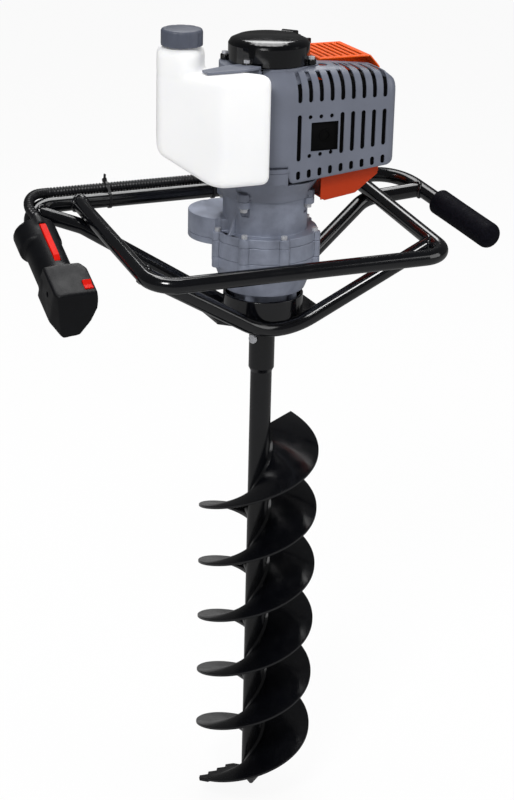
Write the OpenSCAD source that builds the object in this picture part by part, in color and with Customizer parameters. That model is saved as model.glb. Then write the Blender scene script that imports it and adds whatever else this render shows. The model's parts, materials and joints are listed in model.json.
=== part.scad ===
// Petrol earth auger: two-stroke power head on a bent-tube frame, two-stage gearbox, screw bit.
// Z runs up the drive axis, X along the handlebar, Y to the back. Zero is at handlebar height.

/* [Screw bit] */
// Outside diameter of the flight
bit_d = 180; // [150:5:200]
// Distance between neighbouring turns of the two flights
flight_pitch = 94.5; // [88:0.5:100]
// Thickness of the flight plate
flight_t = 5; // [4:0.5:6]
// Outside diameter of the bit tube
bit_tube_d = 32; // [28:1:34]
// Height of the top end of the first flight
flight_top = -329; // [-340:1:-320]

/* [Frame] */
// Outside diameter of the frame tubes
tube_d = 23; // [22:0.5:24]
// Wall of the frame tubes
tube_wall = 2; // [1.5:0.5:2.5]
// Half the distance between the two frame legs
leg_x = 225; // [220:1:230]
// Height of the front bar
front_z = -34; // [-37:1:-30]
// Outside diameter of the right grip
grip_d = 40; // [36:1:42]

/* [Engine] */
// Cylinder bore
bore_d = 44; // [42:0.5:45]
// Piston stroke
stroke = 34; // [32:1:35]
// Outside diameter of the recoil cover
recoil_d = 115; // [112:1:116]
// Height of the recoil cover
recoil_h = 35; // [34:1:38]
// Outside diameter of the fuel cap
cap_d = 58; // [54:1:60]
// Wall of the fuel tank
tank_wall = 3; // [2:0.5:4]
// Wall of the muffler guard
guard_wall = 2; // [1.5:0.5:2.5]

/* [Gearbox] */
// Outside diameter of the clutch neck
neck_d = 122; // [120:1:124]
// Outside diameter of the gear case
case_d = 152; // [150:1:154]
// Tooth count of both large gears
gear_teeth = 51; // [51:1:51]

/* [Hidden] */
$fn = 48;
// Gap left between static neighbours
fit = 0.1;
// Radial gap of a shaft running in a bearing
run_fit = 0.05;

tube_r = tube_d / 2;
tube_in = tube_r - tube_wall;
// Lap of straight runs over bends, and how far the bend wall nests in the run wall
lap = 0.5;
nest = 0.03;

// Handlebar corners and the directions of its two arms
bar_x = 302;
bar_y = 172;
arm_l = [sin(1.3) * cos(27), -cos(1.3) * cos(27), -sin(27)];
arm_r = [sin(17) * cos(15), -cos(17) * cos(15), -sin(15)];
corner_l = [-bar_x - 5, bar_y, 0];
corner_r = [bar_x, bar_y, 0];
arm_l_len = 150;
arm_r_len = 205;
bar_pts = [corner_l + arm_l * arm_l_len, corner_l, corner_r, corner_r + arm_r * arm_r_len];
bar_bend = [0, 40, 60, 0];

// Front loop
front_y = -147;
loop_bend = 38;
leg_slope = (0 - front_z) / (bar_y - front_y);
loop_pts = [[-leg_x, bar_y, 0], [-leg_x, front_y, front_z],
            [leg_x, front_y, front_z], [leg_x, bar_y, 0]];
function leg_z(y) = (y - bar_y) * leg_slope;

// Lower V tubes
v_front_end_y = -96;
v_front_pts = [[-leg_x, v_front_end_y, leg_z(v_front_end_y)], [0, -48, -166],
               [leg_x, v_front_end_y, leg_z(v_front_end_y)]];
v_front_bend = [0, 95, 0];
v_rear_x = leg_x + 5;
v_rear_y = 138;
v_rear_z = -27;
v_rear_pts = [[-294, 160.5, -5.5], [-v_rear_x, v_rear_y, v_rear_z], [0, 48, -165],
              [v_rear_x, v_rear_y, v_rear_z], corner_r + arm_r * 57];
v_rear_bend = [0, 50, 80, 50, 0];
// Lowest centre points of the V tubes
v_front_low = [-54.5, -148.8];
v_rear_low = [58.5, -148.8];

// Mount plate and cup
plate_top = -136;
plate_t = 5;
plate_low = plate_top - plate_t;
function v_half(low) = sqrt(tube_r * tube_r - (plate_low - low[1]) * (plate_low - low[1])) + 2 * fit;
plate_front = v_front_low[0] + v_half(v_front_low);
plate_back = v_rear_low[0] - v_half(v_rear_low);
cup_od = 117;
cup_wall = 4;
cup_top = -108;

// Right grip along its arm
grip_from = 95;
grip_to = 222;

// Gear train: module, tooth counts and shaft spacing
gear_m = 2;
pinion_teeth = 9;
shaft_gap = gear_m * (gear_teeth + pinion_teeth) / 2;
lay_dir = 132;
lay = [shaft_gap * cos(lay_dir), shaft_gap * sin(lay_dir)];
pinion_radii = [7.5, 8.5, 10.0, 11.4];
gear_radii = [47.5, 49.8, 52.0];
backlash = 0.25;

// Bearings: inside radius, outside radius, width
brg_s = [7.5, 17.5, 11];
brg_l = [12.5, 23.5, 12];
seal = [12.5, 20, 7];

// Heights in the gearbox
case_low = plate_top + fit;
split_low = -46;
split_mid = -22;
case_top = -9;
lobe_top = 8;
neck_top = 42;
neck_floor = 17.2;
stage1_z = [-18, -8];
stage2_z = [-44, -28];
in_brg_z = [-5, 6.1];
lay_brg_z = [-58, -6];
out_brg_z = [-62, -104];
seal_z = -115;
case_r = case_d / 2;
neck_r = neck_d / 2;
lobe_r = 57;
boss_r = 8;
boss_at = case_r - 1;
boss_dirs = [183, 224, 268, 320, 12, 64];
lobe_dirs = [100, 48];
lobe_boss_at = 60;
neck_bolt_dirs = [218, 318, 38, 138];
neck_bolt_at = 64;
mount_bolt_dirs = [221, 311, 41, 131];
mount_bolt_at = 46;
bolt_r = 3;

// Crank train
shaft_r = brg_s[0] - run_fit;
crank_z = 135;
web_r = 27;
web_t = 12;
pin_gap = 14;
throw = stroke / 2;
rod_len = 64;
wrist_x = rod_len - throw;
bore_r = bore_d / 2;
piston_r = bore_r - 0.08;
piston_skirt = 18;
piston_crown = 18;
deck_x = 44;
head_x = rod_len + throw + piston_crown + 2.5;
crank_brg_z = [101, 158];

// Engine levels
skirt_top = 88;
crankcase_top = 186;
fan_top = 230;
fan_r = 70;
recoil_r = recoil_d / 2;
recoil_top = fan_top + recoil_h;
lug_dirs = [217, 320, 85, 150];
lug_at = 62;
pull_dir = [0.72, sqrt(1 - 0.72 * 0.72), 0];
pulley_z = 240;
pulley_h = 12;
rope_z = pulley_z + pulley_h / 2;
post_r = 8;

// Ports on the cylinder
port_y = 44;
exhaust_x = 76;
intake_x = 60;

// Muffler guard: right end, corner radius, and its outline from front to back and upwards
guard_end = 168;
guard_round = 16;
guard_low_x = -6;
guard_side = [[-77, 50], [-8, 50], [-8, 230], [-43, 230], [-71, 213.5], [-75, 209], [-77, 204]];
guard_side_in = [[-77, 45], [10, 45], [10, 230], [-43, 230], [-71, 213.5], [-75, 209], [-77, 204]];
guard_wrap = 239;
slot_x0 = 15;
slot_step = 16.4;
slot_w = 6.5;

// Choke rod
choke_at = [106, 107];
choke_r = 2.5;

// Fuel tank
tank_low = 80;
tank_mid = 232;
tank_high = 262;
tank_plan = [[-38, -105], [-38, -80], [-96, -20], [-96, 22], [-160, 22], [-175, -20], [-111, -105]];
tank_plan_high = [[-124, -48], [-100, -12], [-100, 22], [-160, 22], [-175, -20], [-150, -54]];
neck_at = [-137, -15];
filler_r = 21;
filler_top = 278;
gasket_t = 2.8;
cap_low = 264;
cap_high = filler_top + gasket_t + 6;

// Bit
bit_r = bit_d / 2;
bit_tube_r = bit_tube_d / 2;
socket_r = 19;
spigot_r = 10;
socket_top = -160;
socket_floor = -214;
socket_low = -226;
bit_low = -925;
flight_low = -905;
flight_ref_z = -453.8;
flight_ref_dir = 156;
function flight_dir(z, start) = flight_ref_dir + 180 * start + 180 * (z - flight_ref_z) / flight_pitch;
cross_pin_z = -178;
cross_pin_r = 4;
cross_pin_dir = 207;

function unit(v) = v / norm(v);
function turn(p, i) = acos(unit(p[i] - p[i - 1]) * unit(p[i + 1] - p[i]));
function trim(p, b, i) = b[i] * tan(turn(p, i) / 2);

// Places children with local axes x, y, z at point p
module axes(x, y, z, p) {
  multmatrix([[x[0], y[0], z[0], p[0]], [x[1], y[1], z[1], p[1]], [x[2], y[2], z[2], p[2]]]) children();
}

// Round bar from a to b
module rod(a, b, r) {
  d = unit(b - a);
  x = unit(cross(abs(d[2]) < 0.9 ? [0, 0, 1] : [0, 1, 0], d));
  axes(x, cross(d, x), d, a) cylinder(r = r, h = norm(b - a));
}

// Bend number i of a tube through points p with bend radii b
module bend(p, b, i, r_out, r_in = 0) {
  y = unit(p[i] - p[i - 1]);
  z = unit(cross(y, p[i + 1] - p[i]));
  x = cross(y, z);
  axes(x, y, z, p[i] - y * trim(p, b, i) - x * b[i])
    rotate_extrude(angle = turn(p, i)) translate([b[i], 0]) difference() {
      circle(r = r_out);
      if (r_in > 0) circle(r = r_in);
    }
}

// Bent tube; each straight run laps a little over the bends at its ends
module pipe(p, b) {
  n = len(p);
  for (i = [0 : n - 2]) {
    d = unit(p[i + 1] - p[i]);
    from = i == 0 ? p[0] : p[i] + d * (trim(p, b, i) - lap);
    to = i == n - 2 ? p[n - 1] : p[i + 1] - d * (trim(p, b, i + 1) - lap);
    difference() {
      rod(from, to, tube_r);
      rod(from - d, to + d, tube_in);
    }
  }
  for (i = [1 : n - 2]) bend(p, b, i, tube_r - nest, tube_in + nest);
}

// Frame of a handlebar arm: x to the side, y up, z out along the arm
module on_arm(c, d) {
  n = unit([0, 0, 1] - d * d[2]);
  axes(cross(n, d), n, d, c) children();
}

// Plate from a side outline given as points along z and y
module side_plate(pts, x0, x1) {
  rotate([0, -90, 0]) translate([0, 0, -x1]) linear_extrude(x1 - x0) polygon(pts);
}

// Plate from an outline in x and z, between two y values
module wall_y(pts, y0, y1) {
  translate([0, y1, 0]) rotate([90, 0, 0]) linear_extrude(y1 - y0) polygon(pts);
}

module cyl_x(r, x0, x1, y = 0, z = 0) {
  translate([x0, y, z]) rotate([0, 90, 0]) cylinder(r = r, h = x1 - x0);
}

module cyl_y(r, y0, y1, x = 0, z = 0) {
  translate([x, y0, z]) rotate([-90, 0, 0]) cylinder(r = r, h = y1 - y0);
}

module cyl_z(r, z0, z1, p = [0, 0]) {
  translate([p[0], p[1], z0]) cylinder(r = r, h = z1 - z0);
}

module box(a, b) {
  translate(a) cube(b - a);
}

module ring(b, z, p = [0, 0]) {
  difference() {
    cyl_z(b[1], z, z + b[2], p);
    cyl_z(b[0], z - 1, z + b[2] + 1, p);
  }
}

// Rolling bearing with a shallow groove on both faces
module bearing(b, z, p = [0, 0]) {
  mid = (b[0] + b[1]) / 2;
  difference() {
    ring(b, z, p);
    for (f = [z - 1, z + b[2] - 1]) {
      difference() {
        cyl_z(mid + 2.5, f, f + 2, p);
        cyl_z(mid - 2.5, f - 1, f + 3, p);
      }
    }
  }
}

// Points of an outline moved inwards by w
function inset(p, w) = [for (i = [0 : len(p) - 1])
  let (n = len(p),
       a = unit(p[i] - p[(i + n - 1) % n]),
       b = unit(p[(i + 1) % n] - p[i]),
       na = [-a[1], a[0]],
       nb = [-b[1], b[0]])
  p[i] + (na + nb) * w / (1 + na * nb)];

// Involute tooth outline
function inv(a) = tan(a) * 180 / PI - a;
function half_tooth(z, shift, r) =
  let (rp = gear_m * z / 2,
       rb = rp * cos(20),
       s = gear_m * (PI / 2 + 2 * shift * tan(20)) - backlash,
       ar = r > rb ? acos(rb / r) : 0)
  s / (2 * rp) * 180 / PI + inv(20) - inv(ar);
function gear_points(z, shift, radii) = [for (i = [0 : z - 1])
  for (k = [0 : 2 * len(radii) - 1])
    let (j = k < len(radii) ? k : 2 * len(radii) - 1 - k,
         s = k < len(radii) ? -1 : 1,
         a = i * 360 / z + s * half_tooth(z, shift, radii[j]))
    radii[j] * [cos(a), sin(a)]];

module pinion(z0, z1, dir) {
  rotate([0, 0, dir]) translate([0, 0, z0]) linear_extrude(z1 - z0)
    polygon(gear_points(pinion_teeth, 0.5, pinion_radii));
}

module big_gear(z0, z1, dir) {
  rotate([0, 0, dir]) translate([0, 0, z0]) linear_extrude(z1 - z0)
    polygon(gear_points(gear_teeth, -0.5, gear_radii));
}

// Frame tubes
module handlebar() {
  color("#151517") pipe(bar_pts, bar_bend);
}

module front_loop() {
  color("#151517") difference() {
    pipe(loop_pts, [0, loop_bend, loop_bend, 0]);
    rod([-bar_x + 60, bar_y, 0], [bar_x - 60, bar_y, 0], tube_r + fit);
  }
}

module leg_space() {
  for (s = [-1, 1])
    rod([s * leg_x, bar_y, 0], [s * leg_x, front_y, front_z], tube_r + fit);
}

module front_v_tube() {
  color("#151517") difference() {
    pipe(v_front_pts, v_front_bend);
    leg_space();
  }
}

module rear_v_tube() {
  color("#151517") difference() {
    pipe(v_rear_pts, v_rear_bend);
    bend(bar_pts, bar_bend, 1, tube_r + fit);
    rod(corner_r, corner_r + arm_r * 100, tube_r + 3 * fit);
  }
}

// Plate and cup welded between the lower tubes
module mount_plate() {
  color("#1a1a1c") difference() {
    union() {
      translate([0, 0, plate_top - plate_t]) linear_extrude(plate_t)
        polygon([[-84, -30], [-66, plate_front], [66, plate_front], [84, -30],
                 [84, 38], [66, plate_back], [-66, plate_back], [-84, 38]]);
      difference() {
        cyl_z(cup_od / 2, plate_top - 1, cup_top);
        cyl_z(cup_od / 2 - cup_wall, plate_top - 2, cup_top + 1);
      }
    }
    cyl_z(30, plate_top - plate_t - 1, plate_top + 1);
    bend(v_front_pts, v_front_bend, 1, tube_r + fit);
    bend(v_rear_pts, v_rear_bend, 2, tube_r + fit);
    for (a = mount_bolt_dirs)
      cyl_z(bolt_r + fit, plate_top - plate_t - 1, plate_top + 1, mount_bolt_at * [cos(a), sin(a)]);
  }
}

// Right grip, closed at its end
module right_grip() {
  r = grip_d / 2;
  far = grip_to - grip_from;
  color("#111113") on_arm(corner_r, arm_r) translate([0, 0, grip_from]) difference() {
    rotate_extrude() difference() {
      union() {
        square([r - 6, far]);
        translate([0, 6]) square([r, far - 20]);
        translate([r - 6, 6]) circle(r = 6);
        translate([r - 14, far - 14]) circle(r = 14);
      }
      translate([-r, -1]) square([r, far + 2]);
      translate([r - 14, far - 14]) difference() {
        square([20, 20]);
        circle(r = 14);
      }
    }
    translate([0, 0, -1]) cylinder(r = tube_r + run_fit, h = arm_r_len - grip_from + 1 + fit);
  }
}

// Throttle handle along the arm, and where its moving parts sit
handle_from = 48;
block_front = [[-24, 26], [-24, -30], [-8, -39.7], [16, -37.2], [31.3, -17.7], [40, 2.2], [40.3, 13.6], [37.9, 28],
               [-9.6, 28]];
block_plan = [[-24, 150], [28, 146], [42, 168], [42, 232], [-11, 232], [-24, 205]];
block_side = [[146, -39.7], [231, -39.7], [212, 29], [150, 29]];
trigger_pivot = [190, -17];
lock_pivot = [137, 23];
lock_x = 2;
switch_at = [28, 26.5, 196];
pivot_r = 2;
slot_half = 11.5;

// Oval length of the grip with flat facets
module oval(x, y, rx, ry, from, to) {
  translate([x, y, from]) linear_extrude(to - from)
    polygon([for (i = [0 : 15]) [rx * cos(i * 22.5), ry * sin(i * 22.5)]]);
}

module throttle_body() {
  difference() {
    union() {
      oval(1, -2.5, 27, 29.5, 52, 160);
      oval(-1, -3, 32, 30, handle_from + 2, 86);
      intersection() {
        translate([0, 0, 140]) linear_extrude(100) polygon(block_front);
        wall_y(block_plan, -50, 40);
        side_plate(block_side, -30, 50);
      }
      translate([0, conduit_up, handle_from]) cylinder(r = conduit_r + 2.6, h = 16);
    }
    translate([0, conduit_up, handle_from - 1]) cylinder(r = conduit_r + 0.5, h = 10.2);
    translate([0, 0, handle_from - 1]) cylinder(r = tube_r + fit, h = arm_l_len - handle_from + 1 + fit);
    // Trigger slot and pocket
    side_plate([[126, -60], [126, -13], [150.5, -13], [160, -9], [198, -9], [198, -60]], -slot_half, slot_half);
    // Lock lever slot
    side_plate([[64, 19.6], [64, 37], [142, 37], [142, 19.6]], lock_x - 5, lock_x + 5);
    // Hollow of the switch block
    box([-20, -6, 160], [34, 23, 208]);
    // Switch window
    box([switch_at[0] - 7, 22, switch_at[2] - 9], [switch_at[0] + 7, 33, switch_at[2] + 9]);
  }
}

module throttle_half_a() {
  color("#17171b") on_arm(corner_l, arm_l) difference() {
    throttle_body();
    box([0, -60, 0], [60, 60, 300]);
    pivots(fit);
  }
}

module throttle_half_b() {
  color("#17171b") on_arm(corner_l, arm_l) difference() {
    throttle_body();
    box([-60, -60, 0], [fit, 60, 300]);
    pivots(fit);
    switch_pin(fit);
  }
}

// Pivot pins of the trigger and of the lock lever
module pivots(gap) {
  translate([0, trigger_pivot[1], trigger_pivot[0]]) cyl_x(pivot_r + gap, -15 - gap, 15 + gap);
  translate([0, lock_pivot[1], lock_pivot[0]]) cyl_x(pivot_r + gap, lock_x - 9 - gap, lock_x + 9 + gap);
}

module switch_pin(gap) {
  translate([0, switch_at[1] - 2, switch_at[2]])
    cyl_x(1.5 + gap, switch_at[0] - 9 - gap, switch_at[0] + 9 + gap);
}

module throttle_trigger() {
  color("#1c1c20") on_arm(corner_l, arm_l) union() {
    side_plate([[195, -14], [190, -11], [165, -19], [140, -28], [130, -36], [136, -46], [158, -50],
                [180, -50], [196, -30]], -slot_half + 0.5, slot_half - 0.5);
    translate([0, trigger_pivot[1], trigger_pivot[0]]) cyl_x(pivot_r, -15, 15);
  }
}

module trigger_lock() {
  color("#d8231c") on_arm(corner_l, arm_l) union() {
    side_plate([[66, 22.6], [66, 28], [70, 30], [132, 29.5], [140, 25.5], [140, 21.5], [135, 20.8], [118, 22.6]],
               lock_x - 4.5, lock_x + 4.5);
    translate([0, lock_pivot[1], lock_pivot[0]]) cyl_x(pivot_r, lock_x - 9, lock_x + 9);
  }
}

module stop_switch() {
  color("#e3281f") on_arm(corner_l, arm_l) union() {
    translate(switch_at) side_plate([[-8, -3.2], [8, -3.2], [8, 3], [0, 1.8], [-8, 4.5]], -6.5, 6.5);
    switch_pin(0);
  }
}

// Corrugated conduit of the throttle cable, route by round points
conduit_r = 7.5;
conduit_up = 19.2;
rib_pitch = 4.7;
conduit_pts = [[-305.7, 112.5, -8.8], [-306, 128.5, -0.5], [-308.5, 143.9, 6.7], [-303, 161, 12.8], [-288.8, 175.7, 16.2],
  [-268, 183.7, 15.1], [-250, 183.8, 15.1], [-200, 183.8, 15.1], [-150, 183.8, 15.1], [-100, 183.8, 15.1],
  [-50, 183.8, 15.1], [-20, 183.8, 15.1], [0, 183.6, 15.8], [20, 178, 28], [28, 164, 52], [29, 142, 84],
  [28, 118, 118], [29, 96, 150], [36, 80, 174], [47, 72.5, 185], [57, 70, 184], [60, 70, 174], [60, 70, 166],
  [60, 70, 157.3]];
function mix(i, t) =
  let (n = len(conduit_pts),
       a = conduit_pts[max(i - 1, 0)],
       b = conduit_pts[i],
       c = conduit_pts[i + 1],
       d = conduit_pts[min(i + 2, n - 1)])
  0.5 * (2 * b + (c - a) * t + (2 * a - 5 * b + 4 * c - d) * t * t
    + (3 * b - 3 * c + d - a) * t * t * t);
smooth_line = [for (i = [0 : len(conduit_pts) - 2], k = [0 : 7]) mix(i, k / 8), conduit_pts[len(conduit_pts) - 1]];
smooth_at = [for (i = 0, l = 0; i < len(smooth_line);
  l = l + (i + 1 < len(smooth_line) ? norm(smooth_line[i + 1] - smooth_line[i]) : 0), i = i + 1) l];
conduit_long = smooth_at[len(smooth_at) - 1];
conduit_len = 2 * floor(conduit_long / rib_pitch) + 1;
function along(l, k) = lookup(l, [for (i = [0 : len(smooth_line) - 1]) [smooth_at[i], smooth_line[i][k]]]);
conduit_line = [for (i = [0 : conduit_len - 1]) let (l = conduit_long * i / (conduit_len - 1))
  [along(l, 0), along(l, 1), along(l, 2)]];
function line_dir(i) = unit(conduit_line[min(i + 1, conduit_len - 1)] - conduit_line[max(i - 1, 0)]);
function ring_points(i, r, sides) =
  let (d = line_dir(i), u = unit(cross(d, [0.8, 0.1, -0.3])), v = cross(d, u))
  [for (k = [0 : sides - 1]) conduit_line[i] + r * (u * cos(k * 360 / sides) + v * sin(k * 360 / sides))];
function grid(n, sides, first, flip) = [for (i = [0 : n - 2], k = [0 : sides - 1])
  let (a = first + i * sides + k, b = first + i * sides + (k + 1) % sides, c = a + sides, e = b + sides)
  each (flip ? [[a, b, c], [b, e, c]] : [[a, c, b], [b, c, e]])];

module throttle_conduit() {
  sides = 8;
  n = conduit_len;
  plain = ceil(4 * conduit_r / rib_pitch);
  bore_rings = [for (i = [0 : 6 : n - 2]) i, n - 1];
  m = len(bore_rings);
  skin = [for (i = [0 : n - 1])
    each ring_points(i, i < plain || i > n - 1 - plain || i % 2 == 0 ? conduit_r : conduit_r - 1.3, sides)];
  bores = [for (i = bore_rings) each ring_points(i, conduit_r - 2.6, sides)];
  off = n * sides;
  ends = [for (k = [0 : sides - 1])
    let (q = (k + 1) % sides, t = (n - 1) * sides, w = off + (m - 1) * sides)
    each [[k, q, off + k], [q, off + q, off + k], [t + k, w + k, t + q], [t + q, w + k, w + q]]];
  color("#0f0f11") polyhedron(points = concat(skin, bores),
    faces = concat(grid(n, sides, 0, false), grid(m, sides, off, true), ends));
}

// Cable ties round the bar and the conduit
tie_reach = 19.2;
tie_lean = 38;

module tie_shape(grow) {
  union() {
    circle(r = tube_r + grow);
    translate([0, tie_reach]) circle(r = conduit_r + grow);
    polygon([[-tube_r - grow, 0], [tube_r + grow, 0], [conduit_r + grow, tie_reach], [-conduit_r - grow, tie_reach]]);
  }
}

module zip_ties() {
  color("#141416") for (x = [-179, -14]) translate([x, bar_y, 0]) rotate([90, 0, 90]) rotate([0, 0, -tie_lean]) {
    linear_extrude(4) difference() {
      tie_shape(1.6);
      tie_shape(0.5);
    }
    translate([-2.5, 28.5, -1]) cube([5, 5, 6]);
  }
}

// Gearbox cases
module case_bosses(z0, z1) {
  for (a = boss_dirs) cyl_z(boss_r, z0, z1, boss_at * [cos(a), sin(a)]);
}

module lobe_bosses(r, z0, z1) {
  for (a = lobe_dirs) cyl_z(r, z0, z1, lay + lobe_boss_at * [cos(a), sin(a)]);
}

module boss_holes(r, z0, z1) {
  for (a = boss_dirs) cyl_z(r, z0, z1, boss_at * [cos(a), sin(a)]);
}

module gearbox_top() {
  color("#8d9094") difference() {
    union() {
      cyl_z(case_r, split_mid, case_top);
      case_bosses(split_mid, case_top);
      cyl_z(lobe_r, split_mid, lobe_top, lay);
      lobe_bosses(boss_r, split_mid, case_top);
      cyl_z(neck_r, case_top - 1, neck_top - fit);
      for (a = neck_bolt_dirs) cyl_z(9, 32, neck_top - fit, neck_bolt_at * [cos(a), sin(a)]);
      rotate([0, 0, 203]) wall_y([[neck_r - 3, case_top - 1], [neck_r + 14, case_top - 1], [neck_r - 3, 28]], -2, 2);
    }
    // Clutch space, first stage and bearing seats
    cyl_z(neck_r - 7, neck_floor, neck_top + 1);
    cyl_z(lobe_r - 3.5, split_mid - 1, -6, lay);
    cyl_z(14, split_mid - 1, -4);
    cyl_z(brg_s[1] + fit, in_brg_z[0] - fit, neck_floor + 1);
    cyl_z(brg_s[1] + fit, -7, lay_brg_z[1] + brg_s[2] + fit, lay);
    boss_holes(2.6, split_mid - 1, case_top + 1);
    lobe_bosses(2.6, split_mid - 1, case_top + 1);
    lobe_bosses(5.2, case_top, lobe_top + 1);
    boss_holes(5.2, case_top, lobe_top + 1);
    for (a = neck_bolt_dirs) {
      cyl_z(bolt_r + fit, 20, neck_top + 1, neck_bolt_at * [cos(a), sin(a)]);
      cyl_z(7.6, 18, 32, neck_bolt_at * [cos(a), sin(a)]);
    }
  }
}

module gearbox_middle() {
  color("#85888c") difference() {
    union() {
      cyl_z(case_r, split_low + fit, split_mid - fit);
      case_bosses(split_low + fit, split_mid - fit);
      cyl_z(lobe_r, split_mid - 9, split_mid - fit, lay);
      lobe_bosses(boss_r, split_mid - 9, split_mid - fit);
    }
    cyl_z(gear_radii[2] + 2, split_low - 1, split_mid - 4);
    cyl_z(pinion_radii[3] + 3, split_low - 1, split_mid - 4, lay);
    cyl_z(9.5, split_mid - 5, split_mid + 1, lay);
    boss_holes(2.6, split_low - 1, split_mid + 1);
    lobe_bosses(2.45, split_mid - 8, split_mid + 1);
  }
}

module gearbox_bottom() {
  color("#8d9094") difference() {
    union() {
      rotate_extrude() polygon([[0, case_low], [42, case_low], [42, -104], [60, -98], [case_r - 4, -66],
        [case_r, -60], [case_r, split_low], [0, split_low]]);
      case_bosses(-62, split_low);
      for (a = mount_bolt_dirs) cyl_z(7, case_low, -98, mount_bolt_at * [cos(a), sin(a)]);
    }
    cyl_z(brg_l[0] + 1.5, case_low - 1, split_low + 1);
    cyl_z(brg_l[1] + fit, out_brg_z[0] - fit, split_low + 1);
    cyl_z(brg_l[1] + fit, out_brg_z[1] - fit, out_brg_z[1] + brg_l[2] + fit);
    cyl_z(brg_l[1] - 3, out_brg_z[1] - 1, -74);
    cyl_z(seal[1] + fit, seal_z - fit, out_brg_z[1]);
    cyl_z(brg_s[1] + fit, lay_brg_z[0] - fit, split_low + 1, lay);
    boss_holes(2.45, -58, split_low + 1);
    for (a = mount_bolt_dirs)
      cyl_z(bolt_r + fit, case_low - 1, plate_top + 18, mount_bolt_at * [cos(a), sin(a)]);
  }
}

// Socket-head screws holding the three cases together
module case_screw(low) {
  difference() {
    union() {
      cyl_z(4.4, case_top + fit, case_top + 5);
      cyl_z(2.3, low, case_top + 1);
    }
    translate([0, 0, case_top + 2.5]) cylinder(r = 2.4, h = 4, $fn = 6);
  }
}

module gearbox_screws() {
  color("#c9ccd0") {
    for (a = boss_dirs) translate(boss_at * [cos(a), sin(a), 0]) case_screw(-57);
    for (a = lobe_dirs)
      translate([lay[0] + lobe_boss_at * cos(a), lay[1] + lobe_boss_at * sin(a), 0]) case_screw(split_mid - 7);
  }
}

// Hex bolt with washer, head below
module hex_bolt() {
  translate([0, 0, -6]) cylinder(r = 5.6, h = 4.9, $fn = 6);
  cyl_z(6.8, -1.2, -fit);
  cyl_z(bolt_r, -2, 17.5);
}

module case_bolts() {
  color("#c4c7cb") {
    for (a = neck_bolt_dirs) translate([neck_bolt_at * cos(a), neck_bolt_at * sin(a), 32]) hex_bolt();
    for (a = mount_bolt_dirs)
      translate([mount_bolt_at * cos(a), mount_bolt_at * sin(a), plate_top - plate_t]) hex_bolt();
  }
}

module small_bearings() {
  color("#b9bcc0") {
    for (z = in_brg_z) bearing(brg_s, z);
    for (z = lay_brg_z) bearing(brg_s, z, lay);
    for (z = crank_brg_z) bearing(brg_s, z);
  }
}

module output_bearings() {
  color("#b9bcc0") for (z = out_brg_z) bearing(brg_l, z);
}

module oil_seal() {
  color("#26262a") ring([seal[0] + 0.02, seal[1], seal[2]], seal_z);
}

// Gear train
module clutch_drum() {
  color("#7d7f82") union() {
    difference() {
      cyl_z(42, 18.5, 40);
      cyl_z(39.2, 21.5, 41);
    }
    cyl_z(shaft_r, stage1_z[0] - 1, 19);
    pinion(stage1_z[0] - 1, stage1_z[1] + 1, lay_dir);
  }
}

module layshaft() {
  color("#86888b") translate([lay[0], lay[1], 0]) union() {
    cyl_z(shaft_r, lay_brg_z[0] + fit, lay_brg_z[1] + brg_s[2] - fit);
    cyl_z(12, stage1_z[0] - 2, stage1_z[1] + 1);
    big_gear(stage1_z[0], stage1_z[1], lay_dir + 180 + 180 / gear_teeth);
    pinion(stage2_z[0] - 1, stage2_z[1] + 1, lay_dir + 180);
  }
}

module output_gear() {
  color("#86888b") difference() {
    big_gear(stage2_z[0], stage2_z[1], lay_dir + 180 / gear_teeth);
    cyl_z(brg_l[0], stage2_z[0] - 1, stage2_z[1] + 1);
    for (a = [0 : 60 : 300]) cyl_z(8, stage2_z[0] - 1, stage2_z[1] + 1, 31 * [cos(a), sin(a)]);
  }
}

module output_shaft() {
  color("#a4a6a9") difference() {
    union() {
      cyl_z(brg_l[0] - run_fit, -150, stage2_z[1] + 1);
      cyl_z(16, -158, plate_top - 1.5);
      cyl_z(spigot_r, -212, -150);
    }
    translate([0, 0, cross_pin_z]) rotate([0, 0, cross_pin_dir]) cyl_x(cross_pin_r + run_fit, -40, 40);
  }
}

// Engine castings
module engine_skirt() {
  color("#6b6e75") difference() {
    union() {
      rotate_extrude() polygon([[57, neck_top], [66, neck_top], [68, 54], [80, 72], [80, skirt_top],
        [74, skirt_top], [74, 76], [62, 60], [57, 58]]);
      for (a = neck_bolt_dirs) cyl_z(9, neck_top, 53, neck_bolt_at * [cos(a), sin(a)]);
    }
    guard_notch();
    for (a = neck_bolt_dirs)
      cyl_z(bolt_r + fit, neck_top - 1, 51, neck_bolt_at * [cos(a), sin(a)]);
    rotate([0, 0, 205]) box([60, -12, 64], [90, -2, 68]);
  }
}

// Corner of the skirt and flange left free for the muffler guard
module guard_notch() {
  box([-1, -100, 69.6], [60, -59, 100]);
}

module crankcase() {
  color("#6b6e75") difference() {
    union() {
      cyl_z(80, skirt_top + fit, 94);
      cyl_z(46, 90, crankcase_top);
      box([20, -34, 101], [deck_x, 34, 169]);
    }
    cyl_z(web_r + 3, 114, 156);
    cyl_z(brg_s[1] + fit, crank_brg_z[0] - fit, 115);
    cyl_z(brg_s[1] + fit, 155, crank_brg_z[1] + brg_s[2] + fit);
    cyl_z(shaft_r + 1, skirt_top - 1, crankcase_top + 1);
    cyl_x(bore_r + 2, 0, deck_x + 1, 0, crank_z);
    box([deck_x, -40, 100], [60, 40, 170]);
    guard_notch();
    difference() {
      cyl_z(70, skirt_top - 1, 90.5);
      cyl_z(26, skirt_top - 2, 92);
    }
  }
}

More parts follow.
